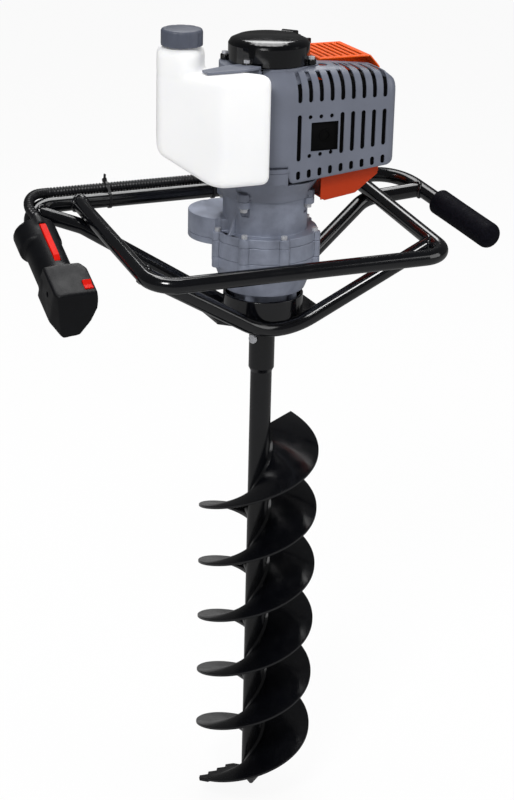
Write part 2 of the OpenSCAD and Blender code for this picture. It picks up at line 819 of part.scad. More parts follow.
module crankshaft() {
  color("#8e9093") union() {
    cyl_z(web_r, crank_z - pin_gap / 2 - web_t, crank_z - pin_gap / 2);
    cyl_z(shaft_r, 24, crank_z - pin_gap / 2 - 1);
    cyl_z(web_r, crank_z + pin_gap / 2, crank_z + pin_gap / 2 + web_t);
    cyl_z(shaft_r, crank_z + pin_gap / 2 + 1, 228);
    translate([0, 0, 222 + fit]) cylinder(r = 11, h = 7, $fn = 6);
  }
}

module flywheel() {
  color("#9a9da1") difference() {
    union() {
      cyl_z(50, 192, 199);
      cyl_z(17, 192, 222);
      for (i = [0 : 15]) rotate([0, 0, i * 22.5]) box([15, -1.2, 198], [51, 1.2, 218]);
    }
    cyl_z(shaft_r + run_fit, 191, 223);
  }
}

module clutch_carrier() {
  color("#6f7174") difference() {
    union() {
      cyl_z(13, 24, 44);
      box([-30, -8, 25], [30, 8, 37]);
    }
    cyl_z(shaft_r + run_fit, 23, 45);
  }
}

// Friction shoes of the clutch, one on each side of the carrier
module shoe(y0, y1) {
  intersection() {
    difference() {
      cyl_z(38, 24.5, 37.5);
      cyl_z(22, 23, 39);
      box([-60, -8.3, 23], [60, 8.3, 39]);
    }
    box([-60, y0, 20], [60, y1, 42]);
  }
}

module clutch_shoe_a() {
  color("#5b4a3c") shoe(0, 60);
}

module clutch_shoe_b() {
  color("#5b4a3c") shoe(-60, 0);
}

module cylinder_fins(r) {
  for (i = [0 : 8]) cyl_x(r, deck_x + 11 + i * 7, deck_x + 13.2 + i * 7, 0, crank_z);
}

module engine_cylinder() {
  color("#a7aaae") difference() {
    union() {
      box([deck_x + fit, -33, 102], [deck_x + 8, 33, 168]);
      cyl_x(bore_r + 7, deck_x + 1, head_x + 16, 0, crank_z);
      cylinder_fins(40.5);
      box([exhaust_x - 16, -port_y, 119], [exhaust_x + 16, -20, 151]);
      box([intake_x - 9, 20, 119], [intake_x + 12, port_y, 151]);
    }
    cyl_x(bore_r, deck_x - 1, head_x, 0, crank_z);
    cyl_x(7 + fit, head_x - 1, head_x + 20, 0, crank_z);
    cyl_y(8, -port_y - 1, 0, exhaust_x, crank_z);
    cyl_y(8, 0, port_y + 1, intake_x, crank_z);
  }
}

module piston() {
  color("#b4b6ba") difference() {
    cyl_x(piston_r, wrist_x - piston_skirt, wrist_x + piston_crown, 0, crank_z);
    cyl_x(piston_r - 3.5, wrist_x - piston_skirt - 1, wrist_x + piston_crown - 5, 0, crank_z);
    cyl_z(5 + run_fit, crank_z - 40, crank_z + 40, [wrist_x, 0]);
    for (x = [wrist_x + 8, wrist_x + 12]) difference() {
      cyl_x(piston_r + 1, x, x + 1.5, 0, crank_z);
      cyl_x(piston_r - 1.6, x - 1, x + 3, 0, crank_z);
    }
  }
}

// Rod with its crank pin and wrist pin
module conrod() {
  color("#8a8c90") {
    difference() {
      union() {
        cyl_z(10.5, crank_z - 5, crank_z + 5, [-throw, 0]);
        cyl_z(8, crank_z - 5, crank_z + 5, [wrist_x, 0]);
        box([-throw, -5, crank_z - 4], [wrist_x, 5, crank_z + 4]);
      }
      cyl_z(6.5 + run_fit, crank_z - 9, crank_z + 9, [-throw, 0]);
      cyl_z(5 + run_fit, crank_z - 9, crank_z + 9, [wrist_x, 0]);
    }
    cyl_z(6.5, crank_z - pin_gap / 2 + 0.4, crank_z + pin_gap / 2 - 0.4, [-throw, 0]);
    cyl_z(5, crank_z - 17, crank_z + 17, [wrist_x, 0]);
  }
}

module spark_plug() {
  color("#d7d4cc") union() {
    cyl_x(7, head_x + 1, head_x + 17, 0, crank_z);
    translate([head_x + 16 + fit, 0, crank_z]) rotate([0, 90, 0]) cylinder(r = 10.5, h = 9, $fn = 6);
    cyl_x(6, head_x + 25, head_x + 36, 0, crank_z);
  }
}

module plug_boot() {
  color("#1d1d20") difference() {
    union() {
      cyl_x(9, head_x + 27, head_x + 46, 0, crank_z);
      cyl_y(5, 0, 26, head_x + 40, crank_z);
    }
    cyl_x(6 + fit, head_x + 26, head_x + 36.2, 0, crank_z);
  }
}

module ignition_coil() {
  color("#24242a") rotate([0, 0, 112]) union() {
    box([53, -13, 196], [64, 13, 216]);
    box([55, -5, 189 + fit], [62, 5, 197]);
  }
}

module fan_housing() {
  color("#6b6e75") difference() {
    union() {
      difference() {
        cyl_z(fan_r, crankcase_top + fit, fan_top);
        difference() {
          cyl_z(fan_r - 2.5, 189, fan_top - 3);
          over_guard(3.2, 57.6);
        }
        over_guard(0.6);
        cyl_z(54, fan_top - 4, fan_top + 1);
        cyl_z(30, crankcase_top - 1, 190);
        box([40, -28, 192], [80, 28, 222]);
      }
      // Arm that carries the tank
      translate([0, 0, 232.6]) linear_extrude(3.6)
        polygon([[-36, -56], [-58, -33], [-74, -33], [-122, -52], [-122, -72], [-72, -70], [-48, -64]]);
      translate([0, 0, fan_top - 1]) linear_extrude(4)
        polygon([[-36.5, -55.5], [-56, -36], [-59, -37.5], [-48, -50], [-38.5, -58]]);
    }
    for (a = lug_dirs) cyl_z(2.45, fan_top - 5, fan_top + 8, lug_at * [cos(a), sin(a)]);
    rotate([0, 0, lug_dirs[0]]) {
      cyl_z(7, fan_top, fan_top + 10, [lug_at, 0]);
      box([recoil_r - 8, -7, fan_top], [lug_at, 7, fan_top + 10]);
    }
  }
}

// Recoil starter
module recoil_cover() {
  low = fan_top + fit;
  color("#121214") difference() {
    union() {
      rotate_extrude() polygon([[0, low], [recoil_r, low], [recoil_r, recoil_top - 9],
        [recoil_r - 3, recoil_top - 4], [recoil_r - 12, recoil_top], [0, recoil_top]]);
      for (a = lug_dirs) rotate([0, 0, a]) {
        cyl_z(6.5, low + 0.4, low + 8, [lug_at, 0]);
        box([recoil_r - 1.2, -5.5, low + 0.4], [lug_at, 5.5, low + 8]);
      }
    }
    rotate_extrude() polygon([[post_r - run_fit, low - 1], [recoil_r - 2.5, low - 1],
      [recoil_r - 2.5, recoil_top - 9.5], [recoil_r - 13, recoil_top - 2.5], [post_r - run_fit, recoil_top - 2.5]]);
    cyl_z(20, low - 1, pulley_z - 2);
    for (a = lug_dirs) cyl_z(2.6, low - 1, low + 10, lug_at * [cos(a), sin(a)]);
    rod(pull_dir * 40 + [0, 0, rope_z], pull_dir * 70 + [0, 0, rope_z], 4.5);
  }
}

module recoil_screws() {
  color("#d2d4d8") for (a = lug_dirs) translate([lug_at * cos(a), lug_at * sin(a), fan_top + 8 + 2 * fit]) {
    difference() {
      union() {
        cyl_z(4.5, 0, 3.4);
        cyl_z(2.35, -11, 1);
      }
      box([-4, -0.6, 2.2], [4, 0.6, 5]);
      box([-0.6, -4, 2.2], [0.6, 4, 5]);
    }
  }
}

// Flat spiral spring of the starter
spring_turns = 4;
spring_step = 15;
function spiral(r, a) = (r + 5 * a / 360) * [cos(a), sin(a)];
spring_outer = [for (a = [0 : spring_step : 360 * spring_turns]) spiral(9.5, a)];
spring_inner = [for (a = [360 * spring_turns : -spring_step : 0]) spiral(8.4, a)];

module recoil_spring() {
  color("#9fa2a6") translate([0, 0, pulley_z + pulley_h + 0.3]) linear_extrude(8.5)
    polygon(concat(spring_outer, spring_inner));
}

module starter_pulley() {
  color("#3a3a40") difference() {
    cyl_z(42, pulley_z, pulley_z + pulley_h);
    cyl_z(post_r, pulley_z - 1, pulley_z + pulley_h + 1);
    difference() {
      cyl_z(50, pulley_z + 3, pulley_z + pulley_h - 3);
      cyl_z(34, pulley_z + 2, pulley_z + pulley_h - 2);
    }
    for (a = [0 : 60 : 300]) cyl_z(6, pulley_z - 1, pulley_z + pulley_h + 1, 22 * [cos(a), sin(a)]);
  }
}

module starter_handle() {
  color("#101012") axes([pull_dir[0], pull_dir[1], 0], [-pull_dir[1], pull_dir[0], 0], [0, 0, 1], [0, 0, rope_z])
    difference() {
      union() {
        linear_extrude(18, center = true)
          polygon([[63, -7], [63, 7], [69, 15], [78, 18], [83, 15], [83, -15], [78, -18], [69, -15]]);
        translate([0, 0, 8]) linear_extrude(7) polygon([[66, -9], [66, 9], [80, 13], [80, -13]]);
      }
      cyl_x(2.2, 60, 76);
    }
}

module starter_rope() {
  color("#e8e6df") rod(pull_dir * 34.5 + [0, 0, rope_z], pull_dir * 75.5 + [0, 0, rope_z], 2);
}

// Muffler box with flange and outlet stub
module muffler() {
  color("#55575b") difference() {
    union() {
      box([22, -71, 103], [104, -port_y - 4, 167]);
      box([exhaust_x - 15, -port_y - 5, 120], [exhaust_x + 15, -port_y - fit, 150]);
      cyl_y(8, -75 + fit, -70, 56, 137);
    }
    box([24, -69, 105], [102, -port_y - 6, 165]);
    cyl_y(8, -port_y - 8, -port_y + 1, exhaust_x, crank_z);
    cyl_y(6.5, -80, -68, 56, 137);
  }
}

// Guard body: straight front with a round right corner, wrapped round the fan housing on the left
module guard_front(side, w) {
  x1 = guard_end - w;
  r = guard_round - w;
  intersection() {
    translate([0, 0, -w]) wall_y([[-10, 30], [200, 30], [200, 213], [guard_end, 217], [58, 231], [-10, 240]], -100, 60);
    rotate([90, 0, 90]) linear_extrude(200) polygon(side);
    translate([0, 0, 40]) linear_extrude(200) union() {
      translate([-1, -77 + w + r]) square([x1 + 1, 100]);
      translate([-1, -90]) square([x1 - r + 1, 190]);
      translate([x1 - r, -77 + w + r]) circle(r = r);
    }
  }
}

module guard_turn(side, from, to, r_min) {
  rotate([0, 0, from]) rotate_extrude(angle = to - from) intersection() {
    translate([0.3, 0]) mirror([1, 0]) polygon(side);
    translate([r_min, 0]) square([50, 300]);
  }
}

guard_rise = 18 / 174;
function guard_low(x) = 70 + (x - guard_low_x) * guard_rise;

// Space above the rounded front edge of the guard, left free by the fan housing
module guard_edge(gap) {
  difference() {
    translate([-90, 190]) square([47 + gap, 60]);
    polygon(inset(guard_side_in, guard_wall + gap));
  }
}

module over_guard(gap, neck = 60) {
  difference() {
    union() {
      rotate([90, 0, 90]) linear_extrude(80) guard_edge(gap);
      rotate([0, 0, guard_wrap - 1]) rotate_extrude(angle = 271.4 - guard_wrap)
        translate([-0.3, 0]) mirror([1, 0]) guard_edge(gap);
    }
    cyl_z(neck, 180, 260);
  }
}

// Upright slot with round ends in the front wall
module slot(x, z0, z1) {
  box([x - slot_w / 2, -90, z0 + slot_w / 2], [x + slot_w / 2, -62, z1 - slot_w / 2]);
  for (z = [z0 + slot_w / 2, z1 - slot_w / 2]) cyl_y(slot_w / 2, -90, -62, x, z);
}

module muffler_guard() {
  side_in = inset(guard_side_in, guard_wall);
  color("#5d6067") difference() {
    union() {
      difference() {
        guard_front(guard_side, 0);
        translate([-1, 0, 0]) guard_front(side_in, guard_wall);
        guard_front(side_in, guard_wall);
      }
      difference() {
        guard_turn(guard_side, guard_wrap, 270.4, 50);
        guard_turn(side_in, guard_wrap - 1, 271, 45);
      }
    }
    wall_y([[-80, 40], [190, 40], [190, guard_low(190)], [0, guard_low(0)], [0, 95], [-80, 95]], -100, 20);
    cyl_z(60.5, 180, 240);
    difference() {
      cyl_z(fan_r + 1, 180, 240);
      box([-90, -90, 179], [90, -43, 241]);
    }
    cyl_z(46 + fit, 94, 190);
    box([-20, -60, 60], [24, 10, 94 + 2 * fit]);
    for (i = [0 : 8]) {
      x = slot_x0 + i * slot_step;
      low = guard_low(x);
      // Slots that fold over the top edge
      if (i == 0 || i > 4) box([x - slot_w / 2, -90, 189], [x + slot_w / 2, -22, 240]);
      else box([x - slot_w / 2, -90, 189], [x + slot_w / 2, -56, 240]);
      cyl_y(slot_w / 2, -90, -62, x, 189);
      if (i == 0 || i > 3) slot(x, low + 31, 169);
      else for (z = [low + 36, 165]) cyl_y(3, -90, -62, x, z);
      slot(x, low + 4.5, low + 17);
    }
    // Exhaust opening
    box([33, -90, 116], [75, -62, 157]);
    // Bolt access hole and short slots on the top
    translate([66, -34, 200]) cylinder(r = 8, h = 40);
    for (x = [86, 102]) box([x, -40, 200], [x + 5, -22, 240]);
  }
}

// Cover over the cylinder: grille top, end wall, back wall and low shroud
cover = [78, 170, -6, 97, 228];
cover_wall = 2.2;

module cylinder_cover() {
  w = cover_wall;
  color("#e8531c") union() {
    difference() {
      wall_y([[cover[0], 222], [cover[0], cover[4]], [cover[1] - 14, cover[4]], [cover[1], cover[4] - 16],
        [cover[1], 96], [146, 74], [112, 48], [64, 41], [64, 41 - w], [112.4, 48 - w],
        [147.4, 74 - w], [cover[1] + w, 95], [cover[1] + w, cover[4] - 15], [cover[1] - 13, cover[4] + w],
        [cover[0] - w, cover[4] + w], [cover[0] - w, 222]], cover[2], cover[3]);
      for (i = [0 : 6])
        box([cover[0] + 5 + i * 10.2, cover[2] + 9, 220], [cover[0] + 9.8 + i * 10.2, cover[3] - 6, 240]);
    }
    // Back wall with a window for the intake side
    difference() {
      wall_y([[cover[0], cover[4]], [cover[1] - 14, cover[4]], [cover[1], cover[4] - 16], [cover[1], 96],
        [146, 74], [112, 48], [cover[0], 43.2]], cover[3] - w, cover[3]);
      box([70, 80, 60], [122, 120, 196]);
    }
    // Low front shroud below the guard
    wall_y([[58, 40], [112, 48], [148, 75], [148, 84], [58, 84 - 8]], -62, -62 + w);
    wall_y([[64, 41], [112, 48], [146, 74], [147.4, 74 - w], [112.4, 48 - w], [64, 41 - w]], -62, cover[2] + 1);
  }
}

module carburettor() {
  color("#b3b5b8") difference() {
    union() {
      cyl_y(14, port_y + fit, 91, intake_x, crank_z);
      box([intake_x - 15, 54, 118], [intake_x + 15, 86, 152]);
      box([intake_x - 16, port_y + fit, 122], [intake_x + 14, port_y + 6, 148]);
      cyl_z(9, 150, 157, [intake_x, 70]);
    }
    cyl_y(8, port_y - 1, 95, intake_x, crank_z);
  }
}

module air_box() {
  color("#1e1e22") difference() {
    box([38, 91 + fit, 97], [120, 128, 185]);
    box([40.5, 94, 99.5], [117.5, 125.5, 182.5]);
    cyl_y(10, 88, 96, intake_x, crank_z);
    cyl_z(choke_r + run_fit, 180, 190, choke_at);
    for (i = [0 : 5]) box([48 + i * 12, 120, 112], [52 + i * 12, 130, 168]);
  }
}

module filter_element() {
  color("#3d3f36") box([41, 114.5, 100], [117, 125, 182]);
}

module choke_lever() {
  x = choke_at[0];
  y = choke_at[1];
  color("#19191c") union() {
    cyl_z(choke_r, 150, 226, choke_at);
    cyl_z(5, 185 + fit, 190, choke_at);
    box([x - 8, y - 2.5, 224], [x + 8, y + 2.5, 235.5]);
    box([x - 6, y - 1, 150], [x + 6, y + 1, 172]);
  }
}

// Fuel tank
module tank_slope(lift) {
  translate([-125.4, -85.8, tank_low + lift]) rotate([0, 0, 127]) rotate([0, -22, 0])
    translate([-60, -200, -150]) cube([320, 400, 150]);
}

module fuel_tank() {
  w = tank_wall;
  color("#e9eaee") difference() {
    union() {
      difference() {
        translate([0, 0, tank_low]) linear_extrude(tank_mid - tank_low) polygon(tank_plan);
        tank_slope(0);
      }
      translate([0, 0, tank_mid - 1]) linear_extrude(tank_high - tank_mid + 1) polygon(tank_plan_high);
      cyl_z(filler_r, tank_high - 1, filler_top, neck_at);
    }
    difference() {
      translate([0, 0, tank_low + w]) linear_extrude(tank_mid - tank_low - 2 * w) polygon(inset(tank_plan, w));
      tank_slope(w * 1.08);
    }
    translate([0, 0, tank_mid - w - 1]) linear_extrude(tank_high - tank_mid + 1) polygon(inset(tank_plan_high, w));
    cyl_z(filler_r - 4, tank_high - w - 2, filler_top + 1, neck_at);
  }
}

module fuel_cap() {
  r = cap_d / 2;
  color("#3b3d42") difference() {
    translate([neck_at[0], neck_at[1], 0]) rotate_extrude() polygon([[0, cap_low], [r - 2, cap_low], [r, cap_low + 3],
      [r, cap_high - 4], [r - 4, cap_high], [0, cap_high]]);
    cyl_z(filler_r + 1.2, cap_low - 1, filler_top + gasket_t + 3 * fit, neck_at);
    for (a = [0 : 20 : 340]) translate([neck_at[0], neck_at[1], 0]) rotate([0, 0, a])
      cyl_z(1.6, cap_low - 1, cap_high - 5, [r + 0.6, 0]);
  }
}

module cap_gasket() {
  color("#202024") cyl_z(filler_r - 0.5, filler_top + fit, filler_top + fit + gasket_t, neck_at);
}

// Screw bit
module auger_shaft() {
  color("#151517") difference() {
    union() {
      cyl_z(bit_tube_r, bit_low, socket_low);
      cyl_z(socket_r, socket_low, socket_top);
      translate([0, 0, socket_low - 6]) cylinder(r1 = bit_tube_r, r2 = socket_r, h = 6);
      translate([0, 0, bit_low - 19]) cylinder(r1 = 3, r2 = bit_tube_r, h = 19);
    }
    cyl_z(spigot_r + run_fit, socket_floor, socket_top + 1);
    cyl_z(bit_tube_r - 3, bit_low + 10, socket_low - 14);
    translate([0, 0, cross_pin_z]) rotate([0, 0, cross_pin_dir]) cyl_x(cross_pin_r + run_fit, -40, 40);
  }
}

// One of the two helical flight plates, welded round the bit tube
module flight_plate(start, low, top) {
  a0 = flight_dir(low, start);
  a1 = flight_dir(top, start);
  n = ceil((a1 - a0) / 6);
  rin = bit_tube_r + 0.25;
  pts = [for (i = [0 : n]) let (a = a0 + (a1 - a0) * i / n, z = low + (top - low) * i / n)
    each [[rin * cos(a), rin * sin(a), z - flight_t / 2], [bit_r * cos(a), bit_r * sin(a), z - flight_t / 2],
          [bit_r * cos(a), bit_r * sin(a), z + flight_t / 2], [rin * cos(a), rin * sin(a), z + flight_t / 2]]];
  sides = [for (i = [0 : n - 1], k = [0 : 3])
    let (p = 4 * i + k, q = 4 * i + (k + 1) % 4)
    each [[p, p + 4, q], [q, p + 4, q + 4]]];
  e = 4 * n;
  polyhedron(points = pts,
    faces = concat(sides, [[0, 1, 2], [0, 2, 3], [e, e + 2, e + 1], [e, e + 3, e + 2]]));
}

module auger_flight() {
  color("#151517") {
    flight_plate(0, flight_low + 23, flight_top);
    flight_plate(1, flight_low, flight_top - flight_pitch);
  }
}

// Toothed cutting blade at the low end of the flight
blade_span = bit_r - bit_tube_r - 3;
blade_teeth = 4;
function blade_edge() = [for (i = [0 : 2 * blade_teeth])
  [blade_span * (1 - i / (2 * blade_teeth)), i % 2 == 0 ? -24 : -34]];

module auger_blade() {
  color("#2b2c2f") rotate([0, 0, flight_dir(flight_low, 1)]) translate([bit_tube_r + 2.5, -0.3, flight_low + 1])
    rotate([20, 0, 0]) translate([0, 0, -flight_t]) linear_extrude(flight_t)
    polygon(concat([[0, -1.5], [blade_span, -1.5]], blade_edge()));
}

// Cross pin with a ring clip
module coupling_pin() {
  color("#c2c5c9") translate([0, 0, cross_pin_z]) rotate([0, 0, cross_pin_dir]) union() {
    cyl_x(cross_pin_r, -27, 22);
    cyl_x(6.5, 19.5, 23);
    translate([-34, 0, 0]) rotate([90, 0, 0]) rotate_extrude() translate([9, 0]) circle(r = 1.2);
  }
}

handlebar();
front_loop();
front_v_tube();
rear_v_tube();
mount_plate();
right_grip();
throttle_half_a();
throttle_half_b();
throttle_conduit();
zip_ties();
gearbox_top();
gearbox_middle();
gearbox_bottom();
gearbox_screws();
case_bolts();
small_bearings();
output_bearings();
oil_seal();
engine_skirt();
crankcase();
engine_cylinder();
spark_plug();
plug_boot();
ignition_coil();
fan_housing();
recoil_cover();
recoil_screws();
recoil_spring();
muffler();
muffler_guard();
cylinder_cover();
carburettor();
air_box();
filter_element();
fuel_tank();
crankshaft();
flywheel();
clutch_carrier();
clutch_shoe_a();
clutch_shoe_b();
clutch_drum();
layshaft();
output_gear();
output_shaft();
piston();
conrod();
starter_pulley();
starter_handle();
starter_rope();
throttle_trigger();
trigger_lock();
stop_switch();
choke_lever();
fuel_cap();
cap_gasket();
auger_shaft();
auger_flight();
auger_blade();
coupling_pin();
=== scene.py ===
"""Earth auger: finishes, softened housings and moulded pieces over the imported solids, with a plain studio."""

import json
import math

import bmesh
import bpy
from bpy.props import FloatProperty, FloatVectorProperty, PointerProperty
from mathutils import Matrix, Vector

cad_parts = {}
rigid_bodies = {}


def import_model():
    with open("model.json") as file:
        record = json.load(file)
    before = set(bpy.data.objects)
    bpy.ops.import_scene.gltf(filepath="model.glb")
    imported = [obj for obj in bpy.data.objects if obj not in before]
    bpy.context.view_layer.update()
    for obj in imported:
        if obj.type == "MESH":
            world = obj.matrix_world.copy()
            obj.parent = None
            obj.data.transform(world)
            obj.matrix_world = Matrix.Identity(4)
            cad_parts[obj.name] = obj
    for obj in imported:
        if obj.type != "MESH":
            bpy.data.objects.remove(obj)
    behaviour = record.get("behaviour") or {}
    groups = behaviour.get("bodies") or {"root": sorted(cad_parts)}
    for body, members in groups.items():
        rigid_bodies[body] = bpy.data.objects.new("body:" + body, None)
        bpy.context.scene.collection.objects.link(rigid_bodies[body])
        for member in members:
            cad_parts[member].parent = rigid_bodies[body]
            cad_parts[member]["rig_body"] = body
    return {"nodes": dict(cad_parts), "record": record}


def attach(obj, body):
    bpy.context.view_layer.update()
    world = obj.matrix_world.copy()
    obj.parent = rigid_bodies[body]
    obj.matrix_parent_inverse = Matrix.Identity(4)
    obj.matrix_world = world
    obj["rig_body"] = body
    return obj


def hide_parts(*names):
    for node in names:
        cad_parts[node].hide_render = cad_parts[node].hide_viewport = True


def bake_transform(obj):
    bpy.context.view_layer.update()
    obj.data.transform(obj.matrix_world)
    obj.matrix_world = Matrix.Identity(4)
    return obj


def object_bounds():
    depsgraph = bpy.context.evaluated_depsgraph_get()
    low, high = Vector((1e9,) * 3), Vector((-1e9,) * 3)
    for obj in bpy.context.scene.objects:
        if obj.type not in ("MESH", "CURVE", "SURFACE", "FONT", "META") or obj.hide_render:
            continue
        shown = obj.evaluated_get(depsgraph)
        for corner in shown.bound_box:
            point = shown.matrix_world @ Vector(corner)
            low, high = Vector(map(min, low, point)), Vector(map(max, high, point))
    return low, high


bl_info = {
    "name": "Earth auger",
    "version": (1, 0, 0),
    "blender": (4, 5, 0),
    "location": "View3D > Sidebar > Auger",
    "description": "Dresses the packed earth auger with its finishes, softened housings and moulded pieces",
    "category": "Object",
}

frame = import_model()
CAD_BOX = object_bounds()
MM = 0.001
FINISHES = {}

# Handlebar arms, as in the solids: corner and direction of the left and right arm, in mm
CORNER_LEFT = Vector((-307, 172, 0))
CORNER_RIGHT = Vector((302, 172, 0))
ARM_LEFT = Vector((0.0202, -0.8908, -0.4540)).normalized()
ARM_RIGHT = Vector((0.2824, -0.9237, -0.2588)).normalized()

# Legs of the front loop, as in the solids, in mm: their distance from the middle, their fall and the share of it
# at which the V tubes start
LEG_X = 225
LEG_FALL = Vector((0, -319, -34))
LEG_JOINT = 268 / 319
TUBE_RADIUS = 11.5

# Route of the throttle conduit, as in the solids, in mm, and the ties that hold it
CONDUIT_ROUTE = [
    (-305.7, 112.5, -8.8), (-306, 128.5, -0.5), (-308.5, 143.9, 6.7), (-303, 161, 12.8), (-288.8, 175.7, 16.2),
    (-268, 183.7, 15.1), (-250, 183.8, 15.1), (-200, 183.8, 15.1), (-150, 183.8, 15.1), (-100, 183.8, 15.1),
    (-50, 183.8, 15.1), (-20, 183.8, 15.1), (0, 183.6, 15.8), (20, 178, 28), (28, 164, 52), (29, 142, 84),
    (28, 118, 118), (29, 96, 150), (36, 80, 174), (47, 72.5, 185), (57, 70, 184), (60, 70, 174), (60, 70, 166),
    (60, 70, 157.3),
]
TIE_X = (-177, -12)

# Helical flights, as in the solids, in metres: rise of one turn, a height and the turn there in degrees, and the
# extra turn, low end and high end of each flight
FLIGHT_LEAD = 0.189
FLIGHT_MARK = -0.4538
FLIGHT_MARK_TURN = 156
FLIGHTS = ((0, -0.882, -0.329), (180, -0.905, -0.4235))
FLIGHT_STEPS = 420

# Axis of the filler neck and cap, as in the solids, in mm
CAP_AXIS = (-137, -15)

# Solids whose copies get rounded edges, with the radius in mm
SOFT_EDGES = {
    "engine_skirt": 1.2, "fan_housing": 0.8, "recoil_cover": 1.5, "gearbox_top": 1.2, "gearbox_middle": 1.2,
    "gearbox_bottom": 1.2, "cylinder_cover": 0.8, "throttle_trigger": 2.0, "trigger_lock": 0.6, "stop_switch": 0.7,
    "starter_handle": 1.5, "mount_plate": 0.8, "air_box": 2.0, "muffler": 1.5, "auger_blade": 0.5,
    "choke_lever": 0.3, "crankcase": 0.8, "carburettor": 0.8,
}

# Block at the outer end of the throttle handle, as in the solids, in mm: from its end, from above, from the side
BLOCK_FRONT = [
    (-24, 26), (-24, -30), (-8, -39.7), (16, -37.2), (31.3, -17.7), (40, 2.2), (40.3, 13.6), (37.9, 28), (-9.6, 28),
]
BLOCK_PLAN = [(-24, 150), (28, 146), (42, 168), (42, 232), (-11, 232), (-24, 205)]
BLOCK_SIDE = [(146, -39.7), (231, -39.7), (212, 29), (150, 29)]

# Round lumps of the handle along its arm, in mm: middle, half width, half height, start and end
HANDLE_LUMPS = ((1, -2.5, 27, 29.5, 52, 160), (-1, -3, 32, 30, 50, 86), (0, 19.2, 10, 10, 48, 64))

# Muffler guard, close to the solid, in mm: depth of its front, depth and height of its skin over the shoulder,
# height of its top, low edge of its sides, middle of its right corner, and places of its slots
GUARD_FRONT = 77
GUARD_SHOULDER = [
    (77, 192), (76.7, 198), (75.6, 204), (73.6, 209.5), (70.5, 214.5), (66.5, 219), (61, 223.5), (52, 227.5),
    (43, 229.5), (30, 230), (8, 230),
]
GUARD_TOP = 232
GUARD_SIDE_LOW = 95
GUARD_CORNER = (152, -61)
GUARD_SLOTS = [15 + 16.4 * i for i in range(9)]


def colour(name, text, value):
    """A colour that a user may change."""
    return FloatVectorProperty(name=name, description=text, subtype="COLOR", size=3, min=0, max=1, default=value)


def length(name, text, value):
    """A size in metres that a user may change."""
    return FloatProperty(name=name, description=text, unit="LENGTH", subtype="DISTANCE", precision=4, default=value)


class AugerColours(bpy.types.PropertyGroup):
    """Colours of the finishes."""

    tank: colour("Tank", "Milky white of the fuel tank", (0.97, 0.975, 0.985))
    guard: colour("Guard paint", "Satin grey of the muffler guard and skirt", (0.150, 0.164, 0.208))
    casting: colour("Casting", "Raw cast alloy of the clutch neck and gear case", (0.27, 0.295, 0.37))
    cover: colour("Cover", "Orange of the cylinder cover", (0.90, 0.115, 0.010))
    control: colour("Controls", "Red of the lock strip and stop switch", (0.72, 0.010, 0.004))
    tube: colour("Tube paint", "Black gloss of the tube frame and bit", (0.0020, 0.0023, 0.0036))
    plastic: colour("Black plastic", "Moulded black plastic of the handle and recoil cover", (0.0022, 0.0026, 0.0042))
    foam: colour("Grip foam", "Black foam of the right grip", (0.004, 0.004, 0.007))
    cap: colour("Fuel cap", "Dark grey of the fuel cap", (0.080, 0.090, 0.122))
    steel: colour("Steel", "Bright zinc-plated fasteners", (0.62, 0.63, 0.66))


class AugerSizes(bpy.types.PropertyGroup):
    """Sizes of the added detail."""

    tank_round: length("Tank rounding", "Radius of the tank's soft edges", 0.011)
    bead: length("Weld bead", "Half width of a weld bead", 0.0030)
    rib_pitch: length("Rib pitch", "Distance between the conduit's ribs", 0.0047)
    rope: length("Rope", "Radius of the starter rope", 0.0020)


# Finishes


def shader(name, base, rough, metal=0.0, specular=0.5):
    """Node tree and surface shader of a new finish."""
    material = bpy.data.materials.new(name)
    material.use_nodes = True
    tree = material.node_tree
    surface = tree.nodes["Principled BSDF"]
    surface.inputs["Base Color"].default_value = (*base, 1)
    surface.inputs["Roughness"].default_value = rough
    surface.inputs["Metallic"].default_value = metal
    surface.inputs["Specular IOR Level"].default_value = specular
    FINISHES[name] = material
    return tree, surface


def grain(tree, scale, detail, stretch=(1, 1, 1), roughness=0.55):
    """Noise over the piece's own coordinates, in metres."""
    place = tree.nodes.new("ShaderNodeTexCoord")
    turn = tree.nodes.new("ShaderNodeMapping")
    noise = tree.nodes.new("ShaderNodeTexNoise")
    turn.inputs["Scale"].default_value = stretch
    noise.inputs["Scale"].default_value = scale
    noise.inputs["Detail"].default_value = detail
    noise.inputs["Roughness"].default_value = roughness
    tree.links.new(place.outputs["Object"], turn.inputs["Vector"])
    tree.links.new(turn.outputs["Vector"], noise.inputs["Vector"])
    return noise.outputs["Fac"]


def tint(tree, surface, pattern, base, spread, low=0.35, high=0.65):
    """Base colour that wanders between a darker and a lighter tone of one colour."""
    ramp = tree.nodes.new("ShaderNodeValToRGB")
    ramp.color_ramp.elements[0].position = low
    ramp.color_ramp.elements[1].position = high
    ramp.color_ramp.elements[0].color = (*[c * (1 - spread) for c in base], 1)
    ramp.color_ramp.elements[1].color = (*[min(1, c * (1 + spread)) for c in base], 1)
    tree.links.new(pattern, ramp.inputs["Fac"])
    tree.links.new(ramp.outputs["Color"], surface.inputs["Base Color"])


def gloss(tree, surface, pattern, low, high):
    """Roughness that wanders between two values."""
    span = tree.nodes.new("ShaderNodeMapRange")
    span.inputs["From Min"].default_value = 0.3
    span.inputs["From Max"].default_value = 0.7
    span.inputs["To Min"].default_value = low
    span.inputs["To Max"].default_value = high
    tree.links.new(pattern, span.inputs["Value"])
    tree.links.new(span.outputs["Result"], surface.inputs["Roughness"])


